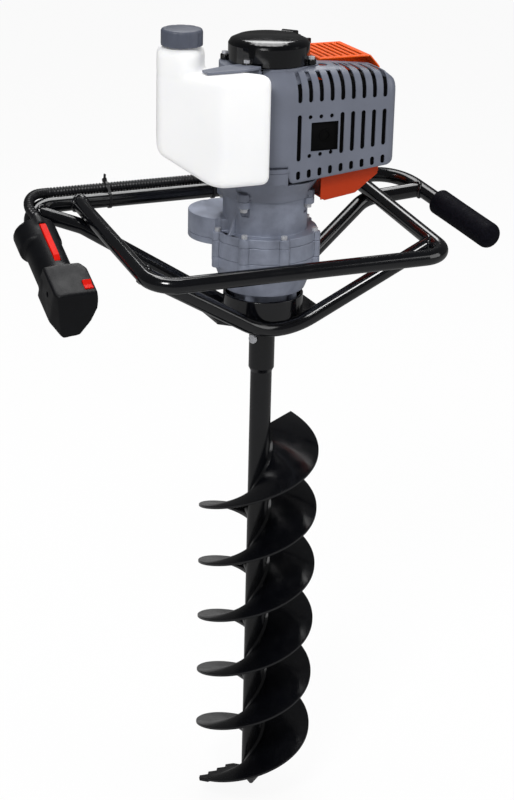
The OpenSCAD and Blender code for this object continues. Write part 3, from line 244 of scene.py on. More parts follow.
def relief(tree, surface, pattern, depth, strength):
    """Fine relief of that depth in metres, over any relief already there."""
    bump = tree.nodes.new("ShaderNodeBump")
    bump.inputs["Distance"].default_value = depth
    bump.inputs["Strength"].default_value = strength
    for link in list(surface.inputs["Normal"].links):
        tree.links.new(link.from_socket, bump.inputs["Normal"])
    tree.links.new(pattern, bump.inputs["Height"])
    tree.links.new(bump.outputs["Normal"], surface.inputs["Normal"])


def painted(name, base, rough, spread=0.12, specular=0.5, peel=0.00002):
    """Sprayed paint: soft orange peel, faint cloudiness and an uneven gloss."""
    tree, surface = shader(name, base, rough[0], specular=specular)
    tint(tree, surface, grain(tree, 14, 4), base, spread)
    gloss(tree, surface, grain(tree, 60, 4), *rough)
    relief(tree, surface, grain(tree, 420, 2), peel, 0.5)


def moulded(name, base, rough, spread=0.15, texture=900, depth=0.00005, specular=0.45):
    """Moulded plastic: fine spark-eroded texture with slightly polished patches."""
    tree, surface = shader(name, base, rough[0], specular=specular)
    tint(tree, surface, grain(tree, 25, 4), base, spread)
    gloss(tree, surface, grain(tree, 45, 5), *rough)
    relief(tree, surface, grain(tree, texture, 2), depth, 0.6)
    return tree, surface


def shroud(name, base):
    """Moulded cover, browner towards its lowest part, where the shadow under the muffler guard is painted into its
    colour.
    """
    # Painted shade: below these heights the cover's colour is darkened by these factors, standing for the guard's
    # shadow.
    low, high, painted_shade = 0.080, 0.098, (0.50, 0.30, 0.3)
    tree, surface = moulded(name, base, (0.30, 0.42), 0.06, depth=0.00002, specular=0.25)
    unshaded = surface.inputs["Base Color"].links[0].from_socket
    place = tree.nodes.new("ShaderNodeTexCoord")
    parts = tree.nodes.new("ShaderNodeSeparateXYZ")
    span = tree.nodes.new("ShaderNodeMapRange")
    span.inputs["From Min"].default_value = low
    span.inputs["From Max"].default_value = high
    # Mixes the painted shade into the cover's own colour towards the bottom.
    mix = tree.nodes.new("ShaderNodeMixRGB")
    mix.inputs["Color1"].default_value = (*[c * k for c, k in zip(base, painted_shade)], 1)
    tree.links.new(place.outputs["Object"], parts.inputs["Vector"])
    tree.links.new(parts.outputs["Z"], span.inputs["Value"])
    tree.links.new(span.outputs["Result"], mix.inputs["Fac"])
    tree.links.new(unshaded, mix.inputs["Color2"])
    tree.links.new(mix.outputs["Color"], surface.inputs["Base Color"])


def metal(name, base, rough, spread=0.15, stretch=(1, 1, 1), shine=1.0):
    """Bare metal: tool marks along the stretch and an uneven brightness."""
    tree, surface = shader(name, base, rough[0], metal=shine)
    tint(tree, surface, grain(tree, 40, 4), base, spread)
    gloss(tree, surface, grain(tree, 90, 4, stretch), *rough)
    relief(tree, surface, grain(tree, 500, 2, stretch), 0.00002, 0.5)


def cast(name, base):
    """Sand-blasted die casting: pebbled skin over soft waves, with darker staining."""
    tree, surface = shader(name, base, 0.5, metal=0.35)
    tint(tree, surface, grain(tree, 30, 6, roughness=0.65), base, 0.22, 0.3, 0.7)
    gloss(tree, surface, grain(tree, 120, 4), 0.38, 0.56)
    relief(tree, surface, grain(tree, 55, 2), 0.00030, 0.4)
    relief(tree, surface, grain(tree, 1100, 2), 0.00008, 0.7)


def milky(name, base):
    """Blow-moulded tank plastic: slightly see-through, soft waves, a satin skin and a faint painted glow that lifts
    it towards white.
    """
    tree, surface = shader(name, base, 0.36, specular=0.4)
    surface.inputs["Subsurface Weight"].default_value = 0.18
    surface.inputs["Subsurface Radius"].default_value = (0.010, 0.010, 0.012)
    surface.inputs["Subsurface Scale"].default_value = 0.6
    # Painted light: a faint white emission brightens the tank, which is no lamp.
    surface.inputs["Emission Color"].default_value = (1, 1, 1, 1)
    surface.inputs["Emission Strength"].default_value = 0.045
    tint(tree, surface, grain(tree, 9, 3), base, 0.03)
    gloss(tree, surface, grain(tree, 35, 3), 0.30, 0.42)
    relief(tree, surface, grain(tree, 28, 1), 0.0005, 0.25)
    relief(tree, surface, grain(tree, 800, 2), 0.00003, 0.4)


def foamed(name, base):
    """Closed-cell foam grip: small pores and a dull sheen."""
    tree, surface = shader(name, base, 0.7, specular=0.06)
    tint(tree, surface, grain(tree, 300, 4), base, 0.35)
    gloss(tree, surface, grain(tree, 60, 4), 0.55, 0.78)
    relief(tree, surface, grain(tree, 1500, 3), 0.00022, 0.8)


def make_finishes(colours):
    """Every finish of the auger, by the record's slot name."""
    painted("black_tube", colours.tube, (0.10, 0.17), specular=0.8)
    painted("bit_paint", colours.tube, (0.14, 0.26), specular=0.7, peel=0.00004)
    painted("grey_paint", colours.guard, (0.30, 0.42), 0.06)
    painted("guard_paint", colours.guard, (0.30, 0.42), 0.06)
    painted("black_gloss", (0.0012, 0.0015, 0.0022), (0.10, 0.18), specular=0.6)
    foamed("foam_grip", colours.foam)
    moulded("black_plastic", colours.plastic, (0.40, 0.55), specular=0.3)
    moulded("conduit_plastic", (0.008, 0.008, 0.010), (0.28, 0.42), depth=0.00002)
    moulded("tie_plastic", (0.010, 0.010, 0.012), (0.30, 0.45), depth=0.00002)
    moulded("seal_rubber", (0.012, 0.012, 0.013), (0.55, 0.7))
    moulded("coil_resin", (0.014, 0.014, 0.016), (0.35, 0.5))
    shroud("orange_plastic", colours.cover)
    moulded("red_plastic", colours.control, (0.32, 0.46), 0.08, depth=0.00003, specular=0.08)
    moulded("cap_plastic", colours.cap, (0.36, 0.50), 0.10)
    moulded("pulley_plastic", (0.040, 0.040, 0.046), (0.35, 0.5))
    moulded("filter_foam", (0.030, 0.030, 0.034), (0.75, 0.9), depth=0.0003)
    moulded("rope_cord", (0.055, 0.055, 0.058), (0.7, 0.85), 0.3, 1600, 0.0002)
    moulded("plug_ceramic", (0.72, 0.71, 0.68), (0.12, 0.2), 0.03, depth=0.00001)
    cast("cast_alloy", colours.casting)
    cast("raw_alloy", (0.42, 0.43, 0.45))
    metal("zinc_steel", colours.steel, (0.20, 0.34), shine=0.4)
    metal("bearing_steel", (0.60, 0.61, 0.63), (0.12, 0.22))
    metal("spring_steel", (0.40, 0.41, 0.44), (0.22, 0.34))
    # Near-black steel, darker than the muffler alone needs: the same finish paints shade on the sheet behind the
    # guard's slots.
    painted("muffler_steel", (0.0025, 0.0025, 0.0028), (0.6, 0.8), 0.3, specular=0.08)
    metal("gear_steel", (0.50, 0.51, 0.53), (0.24, 0.36), stretch=(1, 1, 12))
    metal("shoe_steel", (0.34, 0.34, 0.36), (0.4, 0.55))
    metal("blade_steel", (0.050, 0.050, 0.055), (0.34, 0.5), 0.3)
    milky("tank_plastic", colours.tank)


# Shared ways of making pieces


def placed(name, maker):
    """An object at the origin with the mesh of a mesh maker, which is used up."""
    mesh = bpy.data.meshes.new(name)
    maker.to_mesh(mesh)
    maker.free()
    item = bpy.data.objects.new(name, mesh)
    bpy.context.scene.collection.objects.link(item)
    return item


def new_piece(name, maker, slot, body="frame", angle=35):
    """A smooth piece with its finish, riding on a body; edges over that many degrees stay sharp."""
    piece = placed(name, maker)
    piece.data.materials.append(FINISHES[slot])
    piece.data.shade_smooth()
    piece.data.set_sharp_from_angle(angle=math.radians(angle))
    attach(piece, body)
    return piece


def made_of(item):
    """A mesh maker with what an object's modifiers make of it."""
    mesh = item.evaluated_get(bpy.context.evaluated_depsgraph_get()).to_mesh()
    maker = bmesh.new()
    maker.from_mesh(mesh)
    return maker


def node_slot(node):
    """Material slot of a CAD node."""
    for part in frame["record"]["subparts"]:
        if part["node"] == node:
            return part["material_slot"]
    raise ValueError(node)


def node_body(node):
    """Body that a CAD node rides on."""
    return frame["nodes"][node]["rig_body"]


def softened(node, radius):
    """Puts a merged copy of a CAD node with its sharp edges rounded in the node's place."""
    merge, flat, sharp = 0.000004, 0.6, 38
    maker = bmesh.new()
    maker.from_mesh(frame["nodes"][node].data)
    bmesh.ops.remove_doubles(maker, verts=maker.verts, dist=merge)
    bmesh.ops.dissolve_limit(
        maker, angle_limit=math.radians(flat), verts=maker.verts, edges=maker.edges, delimit={"NORMAL"}
    )
    piece = new_piece(node + ".soft", maker, node_slot(node), node_body(node))
    bevel = piece.modifiers.new("Edges", "BEVEL")
    bevel.width = radius
    bevel.segments = 2
    bevel.limit_method = "ANGLE"
    bevel.angle_limit = math.radians(sharp)
    bevel.harden_normals = True
    bevel.use_clamp_overlap = False
    bevel.loop_slide = False
    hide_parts(node)


def smooth_route(points, step):
    """Points a step in metres apart on one smooth curve through the given ones, which are in mm."""
    parts = 40
    knots = [Vector(p) * MM for p in points]
    knots = [knots[0] * 2 - knots[1]] + knots + [knots[-1] * 2 - knots[-2]]
    fine = []
    for a, b, c, d in zip(knots, knots[1:], knots[2:], knots[3:]):
        for i in range(parts):
            t = i / parts
            fine.append(
                (b * 2 + (c - a) * t + (a * 2 - b * 5 + c * 4 - d) * t * t + (b * 3 - a - c * 3 + d) * t**3) / 2
            )
    fine.append(knots[-2])
    route, run, due = [fine[0]], 0.0, step
    for a, b in zip(fine, fine[1:]):
        part = (b - a).length
        while run + part >= due:
            route.append(a.lerp(b, (due - run) / part))
            due += step
        run += part
    return route


def places_along(points, closed=False):
    """A frame at each point of a route, carried along it without twist."""
    up, places = None, []
    for i, point in enumerate(points):
        before = points[i - 1] if i or closed else point
        after = points[(i + 1) % len(points)] if closed or i + 1 < len(points) else point
        along = (after - before).normalized()
        up = along.orthogonal() if up is None else up - along * up.dot(along)
        up.normalize()
        turn = Matrix((up.cross(along), up, along)).transposed().to_4x4()
        places.append(Matrix.Translation(point) @ turn)
    return places


def verts_in(geom):
    """Vertices among what a mesh step returns."""
    return [g for g in geom if isinstance(g, bmesh.types.BMVert)]


def edges_in(geom):
    """Edges among what a mesh step returns."""
    return [g for g in geom if isinstance(g, bmesh.types.BMEdge)]


def edges_of(verts):
    """Edges that touch these vertices, each once and always in the same order."""
    return list(dict.fromkeys(e for v in verts for e in v.link_edges))


def outwards(maker):
    """Turns every face of a mesh outwards."""
    bmesh.ops.recalc_face_normals(maker, faces=maker.faces)


def in_metres(maker):
    """Brings a mesh that was made in mm to metres."""
    bmesh.ops.scale(maker, verts=maker.verts, vec=(MM, MM, MM))


def sweep(maker, points, radii, sides, closed=False):
    """A skin along a route, round or flattened by the radii given at each point."""
    radii = [r if isinstance(r, tuple) else (r, r) for r in radii]
    places = [
        place @ Matrix.Diagonal((r[0], r[1], 1, 1)) for place, r in zip(places_along(points, closed), radii)
    ]
    ring = bmesh.ops.create_circle(maker, segments=sides, radius=1, cap_ends=False)["verts"]
    bmesh.ops.transform(maker, matrix=places[0], verts=ring)
    first = edges = edges_of(ring)
    for before, after in zip(places, places[1:]):
        made = bmesh.ops.extrude_edge_only(maker, edges=edges)["geom"]
        verts = verts_in(made)
        known = set(verts)
        edges = [e for e in edges_in(made) if set(e.verts) <= known]
        bmesh.ops.transform(maker, matrix=after @ before.inverted(), verts=verts)
    if closed:
        bmesh.ops.bridge_loops(maker, edges=first + edges)
    else:
        bmesh.ops.edgeloop_fill(maker, edges=first)
        bmesh.ops.edgeloop_fill(maker, edges=edges)


def on_arm(corner, along):
    """Frame of a handle arm: x to its side, y up from it, z along it, origin at its corner, in mm."""
    up = (Vector((0, 0, 1)) - along * along.z).normalized()
    turn = Matrix((up.cross(along), up, along)).transposed().to_4x4()
    return Matrix.Scale(MM, 4) @ Matrix.Translation(corner) @ turn


def outline_block(maker, points, low, high):
    """A block of that outline between two heights, and its vertices."""
    base = maker.faces.new([maker.verts.new((x, y, low)) for x, y in points])
    top = verts_in(bmesh.ops.extrude_face_region(maker, geom=[base], use_keep_orig=True)["geom"])
    bmesh.ops.translate(maker, verts=top, vec=(0, 0, high - low))
    verts = list(base.verts) + top
    faces = list(dict.fromkeys(f for v in verts for f in v.link_faces))
    bmesh.ops.recalc_face_normals(maker, faces=faces)
    return verts


def box_block(maker, low, high):
    """A box between two corners."""
    low, high = Vector(low), Vector(high)
    place = Matrix.Translation((low + high) / 2) @ Matrix.Diagonal((*(high - low), 1))
    bmesh.ops.create_cube(maker, size=1, matrix=place)


def rod(maker, place, radius, depth, sides):
    """A closed cylinder with its middle at a place."""
    bmesh.ops.create_cone(
        maker, cap_ends=True, segments=sides, radius1=radius, radius2=radius, depth=depth, matrix=place
    )


def round_edges(maker, edges, radius, segments):
    """Rounds edges."""
    bmesh.ops.bevel(
        maker, geom=edges, offset=radius, offset_type="OFFSET", segments=segments, profile=0.5,
        affect="EDGES", clamp_overlap=True, material=-1,
    )


def rounded(maker, verts, radius, segments=4):
    """Rounds every edge between these vertices."""
    round_edges(maker, edges_of(verts), radius, segments)


def cut_off(maker, point, normal, fill=True):
    """Takes away what lies on the normal's side of a plane, and closes the cut."""
    whole = list(maker.verts) + list(maker.edges) + list(maker.faces)
    cut = bmesh.ops.bisect_plane(
        maker, geom=whole, dist=0.001, plane_co=point, plane_no=normal, clear_outer=True
    )["geom_cut"]
    if fill:
        bmesh.ops.edgeloop_fill(maker, edges=edges_in(cut))


def trimmed(maker, outline, first, second):
    """Cuts everything in the mesh down to a convex outline given in two of the three coordinates."""
    middle = sum((Vector(p) for p in outline), Vector((0, 0))) / len(outline)
    for a, b in zip(outline, outline[1:] + outline[:1]):
        a, b = Vector(a), Vector(b)
        out = Vector((b.y - a.y, a.x - b.x))
        if out.dot(a - middle) < 0:
            out = -out
        point, normal = Vector((0, 0, 0)), Vector((0, 0, 0))
        point[first], point[second] = a
        normal[first], normal[second] = out
        cut_off(maker, point, normal)


def fused(maker, voxel, passes):
    """One smooth skin over the overlapping lumps of a mesh, as a moulding has."""
    lumps = placed("lumps", maker)
    remesh = lumps.modifiers.new("Skin", "REMESH")
    remesh.mode = "VOXEL"
    remesh.voxel_size = voxel
    skin = made_of(lumps)
    bpy.data.objects.remove(lumps)
    for _ in range(passes):
        bmesh.ops.smooth_vert(skin, verts=skin.verts, factor=0.5, use_axis_x=True, use_axis_y=True, use_axis_z=True)
    return skin


def carved(skin, cutter):
    """What is left of a closed skin when the cutter's space is taken out of it."""
    whole, tool = placed("skin", skin), placed("cutter", cutter)
    cut = whole.modifiers.new("Cut", "BOOLEAN")
    cut.object = tool
    cut.operation = "DIFFERENCE"
    cut.solver = "EXACT"
    cut.use_self = True
    left = made_of(whole)
    for item in (whole, tool):
        bpy.data.objects.remove(item)
    return left


def saddle(point, along, radius, bar, bar_radius):
    """Where a tube that runs from a bar meets the bar's skin: points round the tube, from mm to metres."""
    count = 40
    point, along, bar = Vector(point), Vector(along).normalized(), Vector(bar).normalized()
    u = along.orthogonal().normalized()
    v = along.cross(u)
    ring = []
    for i in range(count):
        a = 2 * math.pi * i / count
        out = (u * math.cos(a) + v * math.sin(a)) * radius
        flat_out = out - bar * out.dot(bar)
        flat_along = along - bar * along.dot(bar)
        qa, qb = flat_along.length_squared, flat_out.dot(flat_along)
        qc = flat_out.length_squared - bar_radius**2
        ring.append((point + out + along * ((-qb + math.sqrt(max(0, qb * qb - qa * qc))) / qa)) * MM)
    return ring


class AUGER_OT_finishes(bpy.types.Operator):
    """Makes every finish and paints the CAD nodes with them"""

    bl_idname = "auger.finishes"
    bl_label = "Finishes"

    def execute(self, context):
        make_finishes(context.scene.auger_colours)
        for name, node in frame["nodes"].items():
            node.data.materials.clear()
            node.data.materials.append(FINISHES[node_slot(name)])
        return {"FINISHED"}


class AUGER_OT_conduit(bpy.types.Operator):
    """Corrugated conduit of the throttle cable, with square ribs along its whole route"""

    bl_idname = "auger.conduit"
    bl_label = "Throttle conduit"

    def execute(self, context):
        outer, groove, plain_end = 0.0075, 0.0061, 12
        route = smooth_route(CONDUIT_ROUTE, context.scene.auger_sizes.rib_pitch / 4)
        last = len(route) - plain_end
        radii = [outer if i < plain_end or i > last or i % 4 < 2 else groove for i in range(len(route))]
        maker = bmesh.new()
        sweep(maker, route, radii, 20)
        outwards(maker)
        piece = new_piece("throttle_conduit.ribs", maker, "conduit_plastic", angle=60)
        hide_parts("throttle_conduit")
        return {"FINISHED"}


class AUGER_OT_tie_tails(bpy.types.Operator):
    """Short cut tails of the cable ties, standing up from their heads"""

    bl_idname = "auger.tie_tails"
    bl_label = "Cable tie tails"

    def execute(self, context):
        tail = [(190.4, 24.5), (190.5, 29), (189.8, 32.5), (188.4, 35.5)]
        half_section = (0.0020, 0.0008)
        maker = bmesh.new()
        for x in TIE_X:
            route = smooth_route([(x, y, z) for y, z in tail], 0.002)
            sweep(maker, route, [half_section] * len(route), 4)
        outwards(maker)
        new_piece("tie_tails", maker, "tie_plastic")
        return {"FINISHED"}


class AUGER_OT_welds(bpy.types.Operator):
    """Weld beads where the frame tubes meet"""

    bl_idname = "auger.welds"
    bl_label = "Weld beads"

    def execute(self, context):
        bead = context.scene.auger_sizes.bead
        leg = LEG_FALL.normalized()
        right_end = CORNER_RIGHT + ARM_RIGHT * 57
        v_bottom = Vector((0, -48, -166))
        joints = [
            (Vector((-294, 160.5, -5.5)), Vector((64, -22.5, -21.5)), Vector((0.8, 0.6, 0.25))),
            (right_end, Vector((230, 138, -27)) - right_end, ARM_RIGHT),
        ]
        for side in (-1, 1):
            top = Vector((side * LEG_X, CORNER_LEFT.y, 0))
            low = top + LEG_FALL * LEG_JOINT
            joints.append((top, leg, Vector((1, 0, 0))))
            joints.append((low, v_bottom - low, leg))
        maker = bmesh.new()
        for point, along, bar in joints:
            ring = saddle(point, along, TUBE_RADIUS, bar, TUBE_RADIUS + 0.2)
            ripple = [bead * (1 + 0.12 * math.cos(i * 2.4) + 0.06 * math.cos(i * 1.1)) for i in range(len(ring))]
            sweep(maker, ring, ripple, 8, closed=True)
        outwards(maker)
        new_piece("frame_welds", maker, "black_tube", angle=80)
        return {"FINISHED"}


class AUGER_OT_flight(bpy.types.Operator):
    """Two finely stepped helical flights with rolled edges, and the welds that join them to the bit tube"""

    bl_idname = "auger.flight"
    bl_label = "Helical flight"

    def execute(self, context):
        half, root, flat, rim = 0.0025, 0.015, 0.0885, 0.0898
        plate = [(root, -1), (flat, -1), (rim, -0.6), (rim, 0.6), (flat, 1), (root, 1)]
        fillet = [(root, 0.0010), (0.0205, 0.0024), (0.0182, 0.0046), (0.0163, 0.0080)]
        plates, welds = bmesh.new(), bmesh.new()
        for extra, low, high in FLIGHTS:
            degrees = FLIGHT_MARK_TURN + extra + 360 * (low - FLIGHT_MARK) / FLIGHT_LEAD
            turn = Matrix.Rotation(math.radians(degrees), 4, "Z")
            self.wind(plates, [(r, h * half) for r, h in plate], turn, low, high - low)
            for side in (-1, 1):
                self.wind(welds, [(r, side * h) for r, h in fillet], turn, low, high - low)
        flight = new_piece("auger_flight.fine", plates, "bit_paint", node_body("auger_flight"), angle=50)
        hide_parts("auger_flight")
        new_piece("auger_flight.weld", welds, "bit_paint", node_body("auger_flight"), angle=60)
        return {"FINISHED"}

    def wind(self, maker, section, turn, low, rise):
        """Winds a closed section up the bit."""
        face = maker.faces.new([maker.verts.new(turn @ Vector((r, 0, low + h))) for r, h in section])
        bmesh.ops.spin(
            maker, geom=[face], cent=(0, 0, 0), axis=(0, 0, 1), dvec=(0, 0, rise / FLIGHT_STEPS),
            angle=2 * math.pi * rise / FLIGHT_LEAD, steps=FLIGHT_STEPS, use_merge=False, use_duplicate=False,
        )
        outwards(maker)


class AUGER_OT_tank(bpy.types.Operator):
    """Blow-moulded fuel tank with soft edges, its raised filler corner and neck"""

    bl_idname = "auger.tank"
    bl_label = "Fuel tank"

    def execute(self, context):
        soft = context.scene.auger_sizes.tank_round / MM
        plan = [(-38, -105), (-38, -80), (-96, -20), (-96, 22), (-160, 22), (-175, -20), (-111, -105)]
        corner = [(-124, -48), (-100, -12), (-100, 22), (-160, 22), (-175, -20), (-150, -54)]
        heading, rise = math.radians(127), math.radians(22)
        uphill = Vector((math.cos(heading), math.sin(heading), 0))
        maker = bmesh.new()
        outline_block(maker, plan, 80, 232)
        cut_off(maker, (-125.4, -85.8, 80), uphill * math.sin(rise) - Vector((0, 0, math.cos(rise))))
        rounded(maker, list(maker.verts), soft)
        rounded(maker, outline_block(maker, corner, 216, 262), soft)
        rod(maker, Matrix.Translation((*CAP_AXIS, 255)), 19, 40, 40)
        in_metres(maker)
        piece = new_piece("fuel_tank.moulded", fused(maker, 0.0022, 6), "tank_plastic", angle=180)
        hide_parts("fuel_tank")
        return {"FINISHED"}


class AUGER_OT_handle(bpy.types.Operator):
    """Moulded shell of the throttle handle: oval grip, rear bulge and switch block, with its slots"""

    bl_idname = "auger.handle"
    bl_label = "Throttle handle"

    def execute(self, context):
        maker = bmesh.new()
        outline_block(maker, BLOCK_FRONT, 140, 240)
        trimmed(maker, BLOCK_PLAN, 0, 2)
        trimmed(maker, BLOCK_SIDE, 2, 1)
        outwards(maker)
        rounded(maker, list(maker.verts), 4, 3)
        for x, y, half_wide, half_high, start, end in HANDLE_LUMPS:
            oval = Matrix.Diagonal((half_wide, half_high, 1, 1))
            rod(maker, Matrix.Translation((x, y, (start + end) / 2)) @ oval, 1, end - start, 64)
        shell = carved(fused(maker, 1.5, 7), self.slots())
        bmesh.ops.transform(shell, matrix=on_arm(CORNER_LEFT, ARM_LEFT), verts=shell.verts)
        piece = new_piece("throttle_handle.moulded", shell, "black_plastic", angle=32)
        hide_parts("throttle_half_a", "throttle_half_b")
        return {"FINISHED"}

    def slots(self):
        """Space of the trigger, the lock strip, the switch, the conduit's end, the tube and a screw."""
        trigger = [(126, -60), (198, -60), (198, -9), (160, -9), (150.5, -13), (126, -13)]
        lock = ((-3, 19.6, 64), (7, 40, 142))
        switch = ((21, 16, 187), (35, 40, 205))
        conduit, tube = (19.2, 8.0, 40, 57.2), (0, 11.6, 40, 122)
        cutter = bmesh.new()
        outline_block(cutter, trigger, -11.5, 11.5)
        swap_x_z = Matrix(((0, 0, 1, 0), (0, 1, 0, 0), (1, 0, 0, 0), (0, 0, 0, 1)))
        bmesh.ops.transform(cutter, matrix=swap_x_z, verts=cutter.verts)
        box_block(cutter, *lock)
        box_block(cutter, *switch)
        for y, radius, start, end in (conduit, tube):
            rod(cutter, Matrix.Translation((0, y, (start + end) / 2)), radius, end - start, 40)
        screw = Matrix.Translation((-24, 4, 183)) @ Matrix.Rotation(math.pi / 2, 4, "Y")
        rod(cutter, screw, 4.2, 16, 32)
        outwards(cutter)
        return cutter


class AUGER_OT_cap(bpy.types.Operator):
    """Fuel cap with ten broad grip lobes and a rounded top"""

    bl_idname = "auger.cap"
    bl_label = "Fuel cap"

    def execute(self, context):
        low, high, radius = 264.0, 286.8, 29.0
        lobes, hollow, fullness = 10, 0.038, 1.6
        wall, depth = 3.4, 17.2
        maker = bmesh.new()
        rod(maker, Matrix.Translation((0, 0, (low + high) / 2)), radius, high - low, 120)
        for vert in maker.verts:
            turn = math.atan2(vert.co.y, vert.co.x)
            vert.co.xy *= 1 - hollow + hollow * min(1.0, fullness * abs(math.cos(turn * lobes / 2)))
        top = max(maker.faces, key=lambda f: f.calc_center_median().z)
        base = min(maker.faces, key=lambda f: f.calc_center_median().z)
        rims = [(list(top.edges), 4.0, 5), (list(base.edges), 1.5, 3)]
        for edges, size, segments in rims:
            round_edges(maker, edges, size, segments)
        base = min(maker.faces, key=lambda f: (round(f.calc_center_median().z, 3), -f.calc_area()))
        bmesh.ops.inset_individual(maker, faces=[base], thickness=wall, depth=0)
        made = bmesh.ops.extrude_discrete_faces(maker, faces=[base])["faces"]
        bmesh.ops.translate(maker, verts=made[0].verts, vec=(0, 0, depth))
        bmesh.ops.remove_doubles(maker, verts=maker.verts, dist=0.0005)
        place = Matrix.Scale(MM, 4) @ Matrix.Translation((*CAP_AXIS, 0))
        bmesh.ops.transform(maker, matrix=place, verts=maker.verts)
        outwards(maker)
        piece = new_piece("fuel_cap.lobed", maker, "cap_plastic", node_body("fuel_cap"), angle=40)
        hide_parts("fuel_cap")
        return {"FINISHED"}


class AUGER_OT_soft_edges(bpy.types.Operator):
    """Copies of the castings, pressings and mouldings with rounded edges"""

    bl_idname = "auger.soft_edges"
    bl_label = "Rounded edges"

    def execute(self, context):
        for node, radius in SOFT_EDGES.items():
            softened(node, radius * MM)
        return {"FINISHED"}


class AUGER_OT_guard(bpy.types.Operator):
    """Muffler guard pressed from one sheet: soft shoulder, rounded corners, rolled low edge and slots"""

    bl_idname = "auger.guard"
    bl_label = "Muffler guard"

    def execute(self, context):
        maker = bmesh.new()
        grid = [self.upright(maker, *line) for line in self.plan()]
        for left, right in zip(grid, grid[1:]):
            for a, b, c, d in zip(left, right, right[1:], left[1:]):
                maker.faces.new((a, b, c, d))
        bmesh.ops.remove_doubles(maker, verts=maker.verts, dist=0.02)
        outwards(maker)
        if max(maker.faces, key=lambda f: f.calc_area()).normal.y > 0:
            bmesh.ops.reverse_faces(maker, faces=maker.faces)
        bmesh.ops.solidify(maker, geom=list(maker.faces), thickness=1.7)
        outwards(maker)
        sheet = carved(maker, self.holes())
        in_metres(sheet)
        piece = new_piece("muffler_guard.pressed", sheet, node_slot("muffler_guard"), node_body("muffler_guard"))
        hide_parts("muffler_guard")
        return {"FINISHED"}

    def low_edge(self, x):
        """Height of the sloping low edge of the front."""
        return 70 + (x + 6) * 18 / 174

    def plan(self):
        """Upright lines of the skin from left to right: foot, way out, depth of the foot, least reach, low end,
        top and how far the shoulder is lifted."""
        collar, lift, lift_end = 60.8, 3.5, 35
        slope_start, slope, side_depth, side_top = 58, 0.127, 53, 208
        corner_x, corner_y = GUARD_CORNER
        lines = []
        for i in range(15):
            a = math.radians(239 + 30.4 * i / 14)
            lines.append(((0, 0), (math.cos(a), math.sin(a)), 0, collar, GUARD_SIDE_LOW, GUARD_TOP, lift))
        for x in range(0, corner_x + 1, 4):
            foot_round = 10 - math.sqrt(100 - max(0, 10 - x) ** 2)
            top = GUARD_TOP - max(0, x - slope_start) * slope
            lines.append(((x, 0), (0, -1), 0, 8, self.low_edge(x) + foot_round, top, lift * max(0, 1 - x / lift_end)))
        for i in range(1, 10):
            a = math.radians(10 * i)
            out, turn = math.sin(a), 1 - math.cos(a)
            low = self.low_edge(corner_x + 16 * out) + 7 * turn
            lines.append((GUARD_CORNER, (out, -math.cos(a)), -corner_y, 0, low, 220 - 2 * out - 10 * turn, 0))
        for i in range(1, 12):
            foot = (corner_x, corner_y + side_depth * i / 11)
            lines.append((foot, (1, 0), -corner_y, 0, GUARD_SIDE_LOW, side_top, 0))
        return lines

    def upright(self, maker, foot, out, depth, least, low, top, lift):
        """Vertices of one line of the skin, from the rolled low edge over the shoulder to the top."""
        wall_low, wall_high = low + 5, GUARD_SHOULDER[0][1]
        rows = [(73.2, low), (75.4, low + 0.5), (76.6, low + 2), (GUARD_FRONT, wall_low)]
        rows += [(GUARD_FRONT, wall_low + (wall_high - wall_low) * k / 5) for k in range(1, 5)]
        soft = 3
        for reach, height in GUARD_SHOULDER:
            height += lift * min(1, max(0, (70 - reach) / 9))
            rows.append((reach, -soft * math.log(math.exp(-height / soft) + math.exp(-top / soft))))
        foot, out = Vector((*foot, 0)), Vector((*out, 0))
        return [maker.verts.new(foot + out * max(r - depth, least) + Vector((0, 0, z))) for r, z in rows]

    def pill(self, cutter, x, low, high, radius=3.25, back=-62):
        """Upright slot through the front wall, with round ends where it ends below the shoulder."""
        front, wall_back, wall_top = -90, -62, 200
        if high > low:
            box_block(cutter, (x - radius, front, low), (x + radius, back, high))
        for z in {low, high}:
            if z < wall_top:
                place = Matrix.Translation((x, (front + wall_back) / 2, z)) @ Matrix.Rotation(math.pi / 2, 4, "X")
                rod(cutter, place, radius, wall_back - front, 24)

    def holes(self):
        """Everything punched out of the sheet."""
        recoil_hole, bolt_hole = ((0, 0, 210), 60.5, 60), ((66, -34, 220), 8, 40)
        exhaust = ((33, -90, 116), (75, -62, 157))
        top_slots, slot_width = (86, 102), 5
        cutter = bmesh.new()
        for middle, radius, depth in (recoil_hole, bolt_hole):
            rod(cutter, Matrix.Translation(middle), radius, depth, 96)
        for i, x in enumerate(GUARD_SLOTS):
            low = self.low_edge(x)
            self.pill(cutter, x, 189, 240, back=-22 if i == 0 or i > 4 else -56)
            self.pill(cutter, x, low + 7.75, low + 13.75)
            if i == 0 or i > 3:
                self.pill(cutter, x, low + 34.25, 165.75)
            else:
                for z in (low + 36, 165):
                    self.pill(cutter, x, z, z, 3)
        box_block(cutter, *exhaust)
        for x in top_slots:
            box_block(cutter, (x, -40, 200), (x + slot_width, -22, 240))
        return cutter


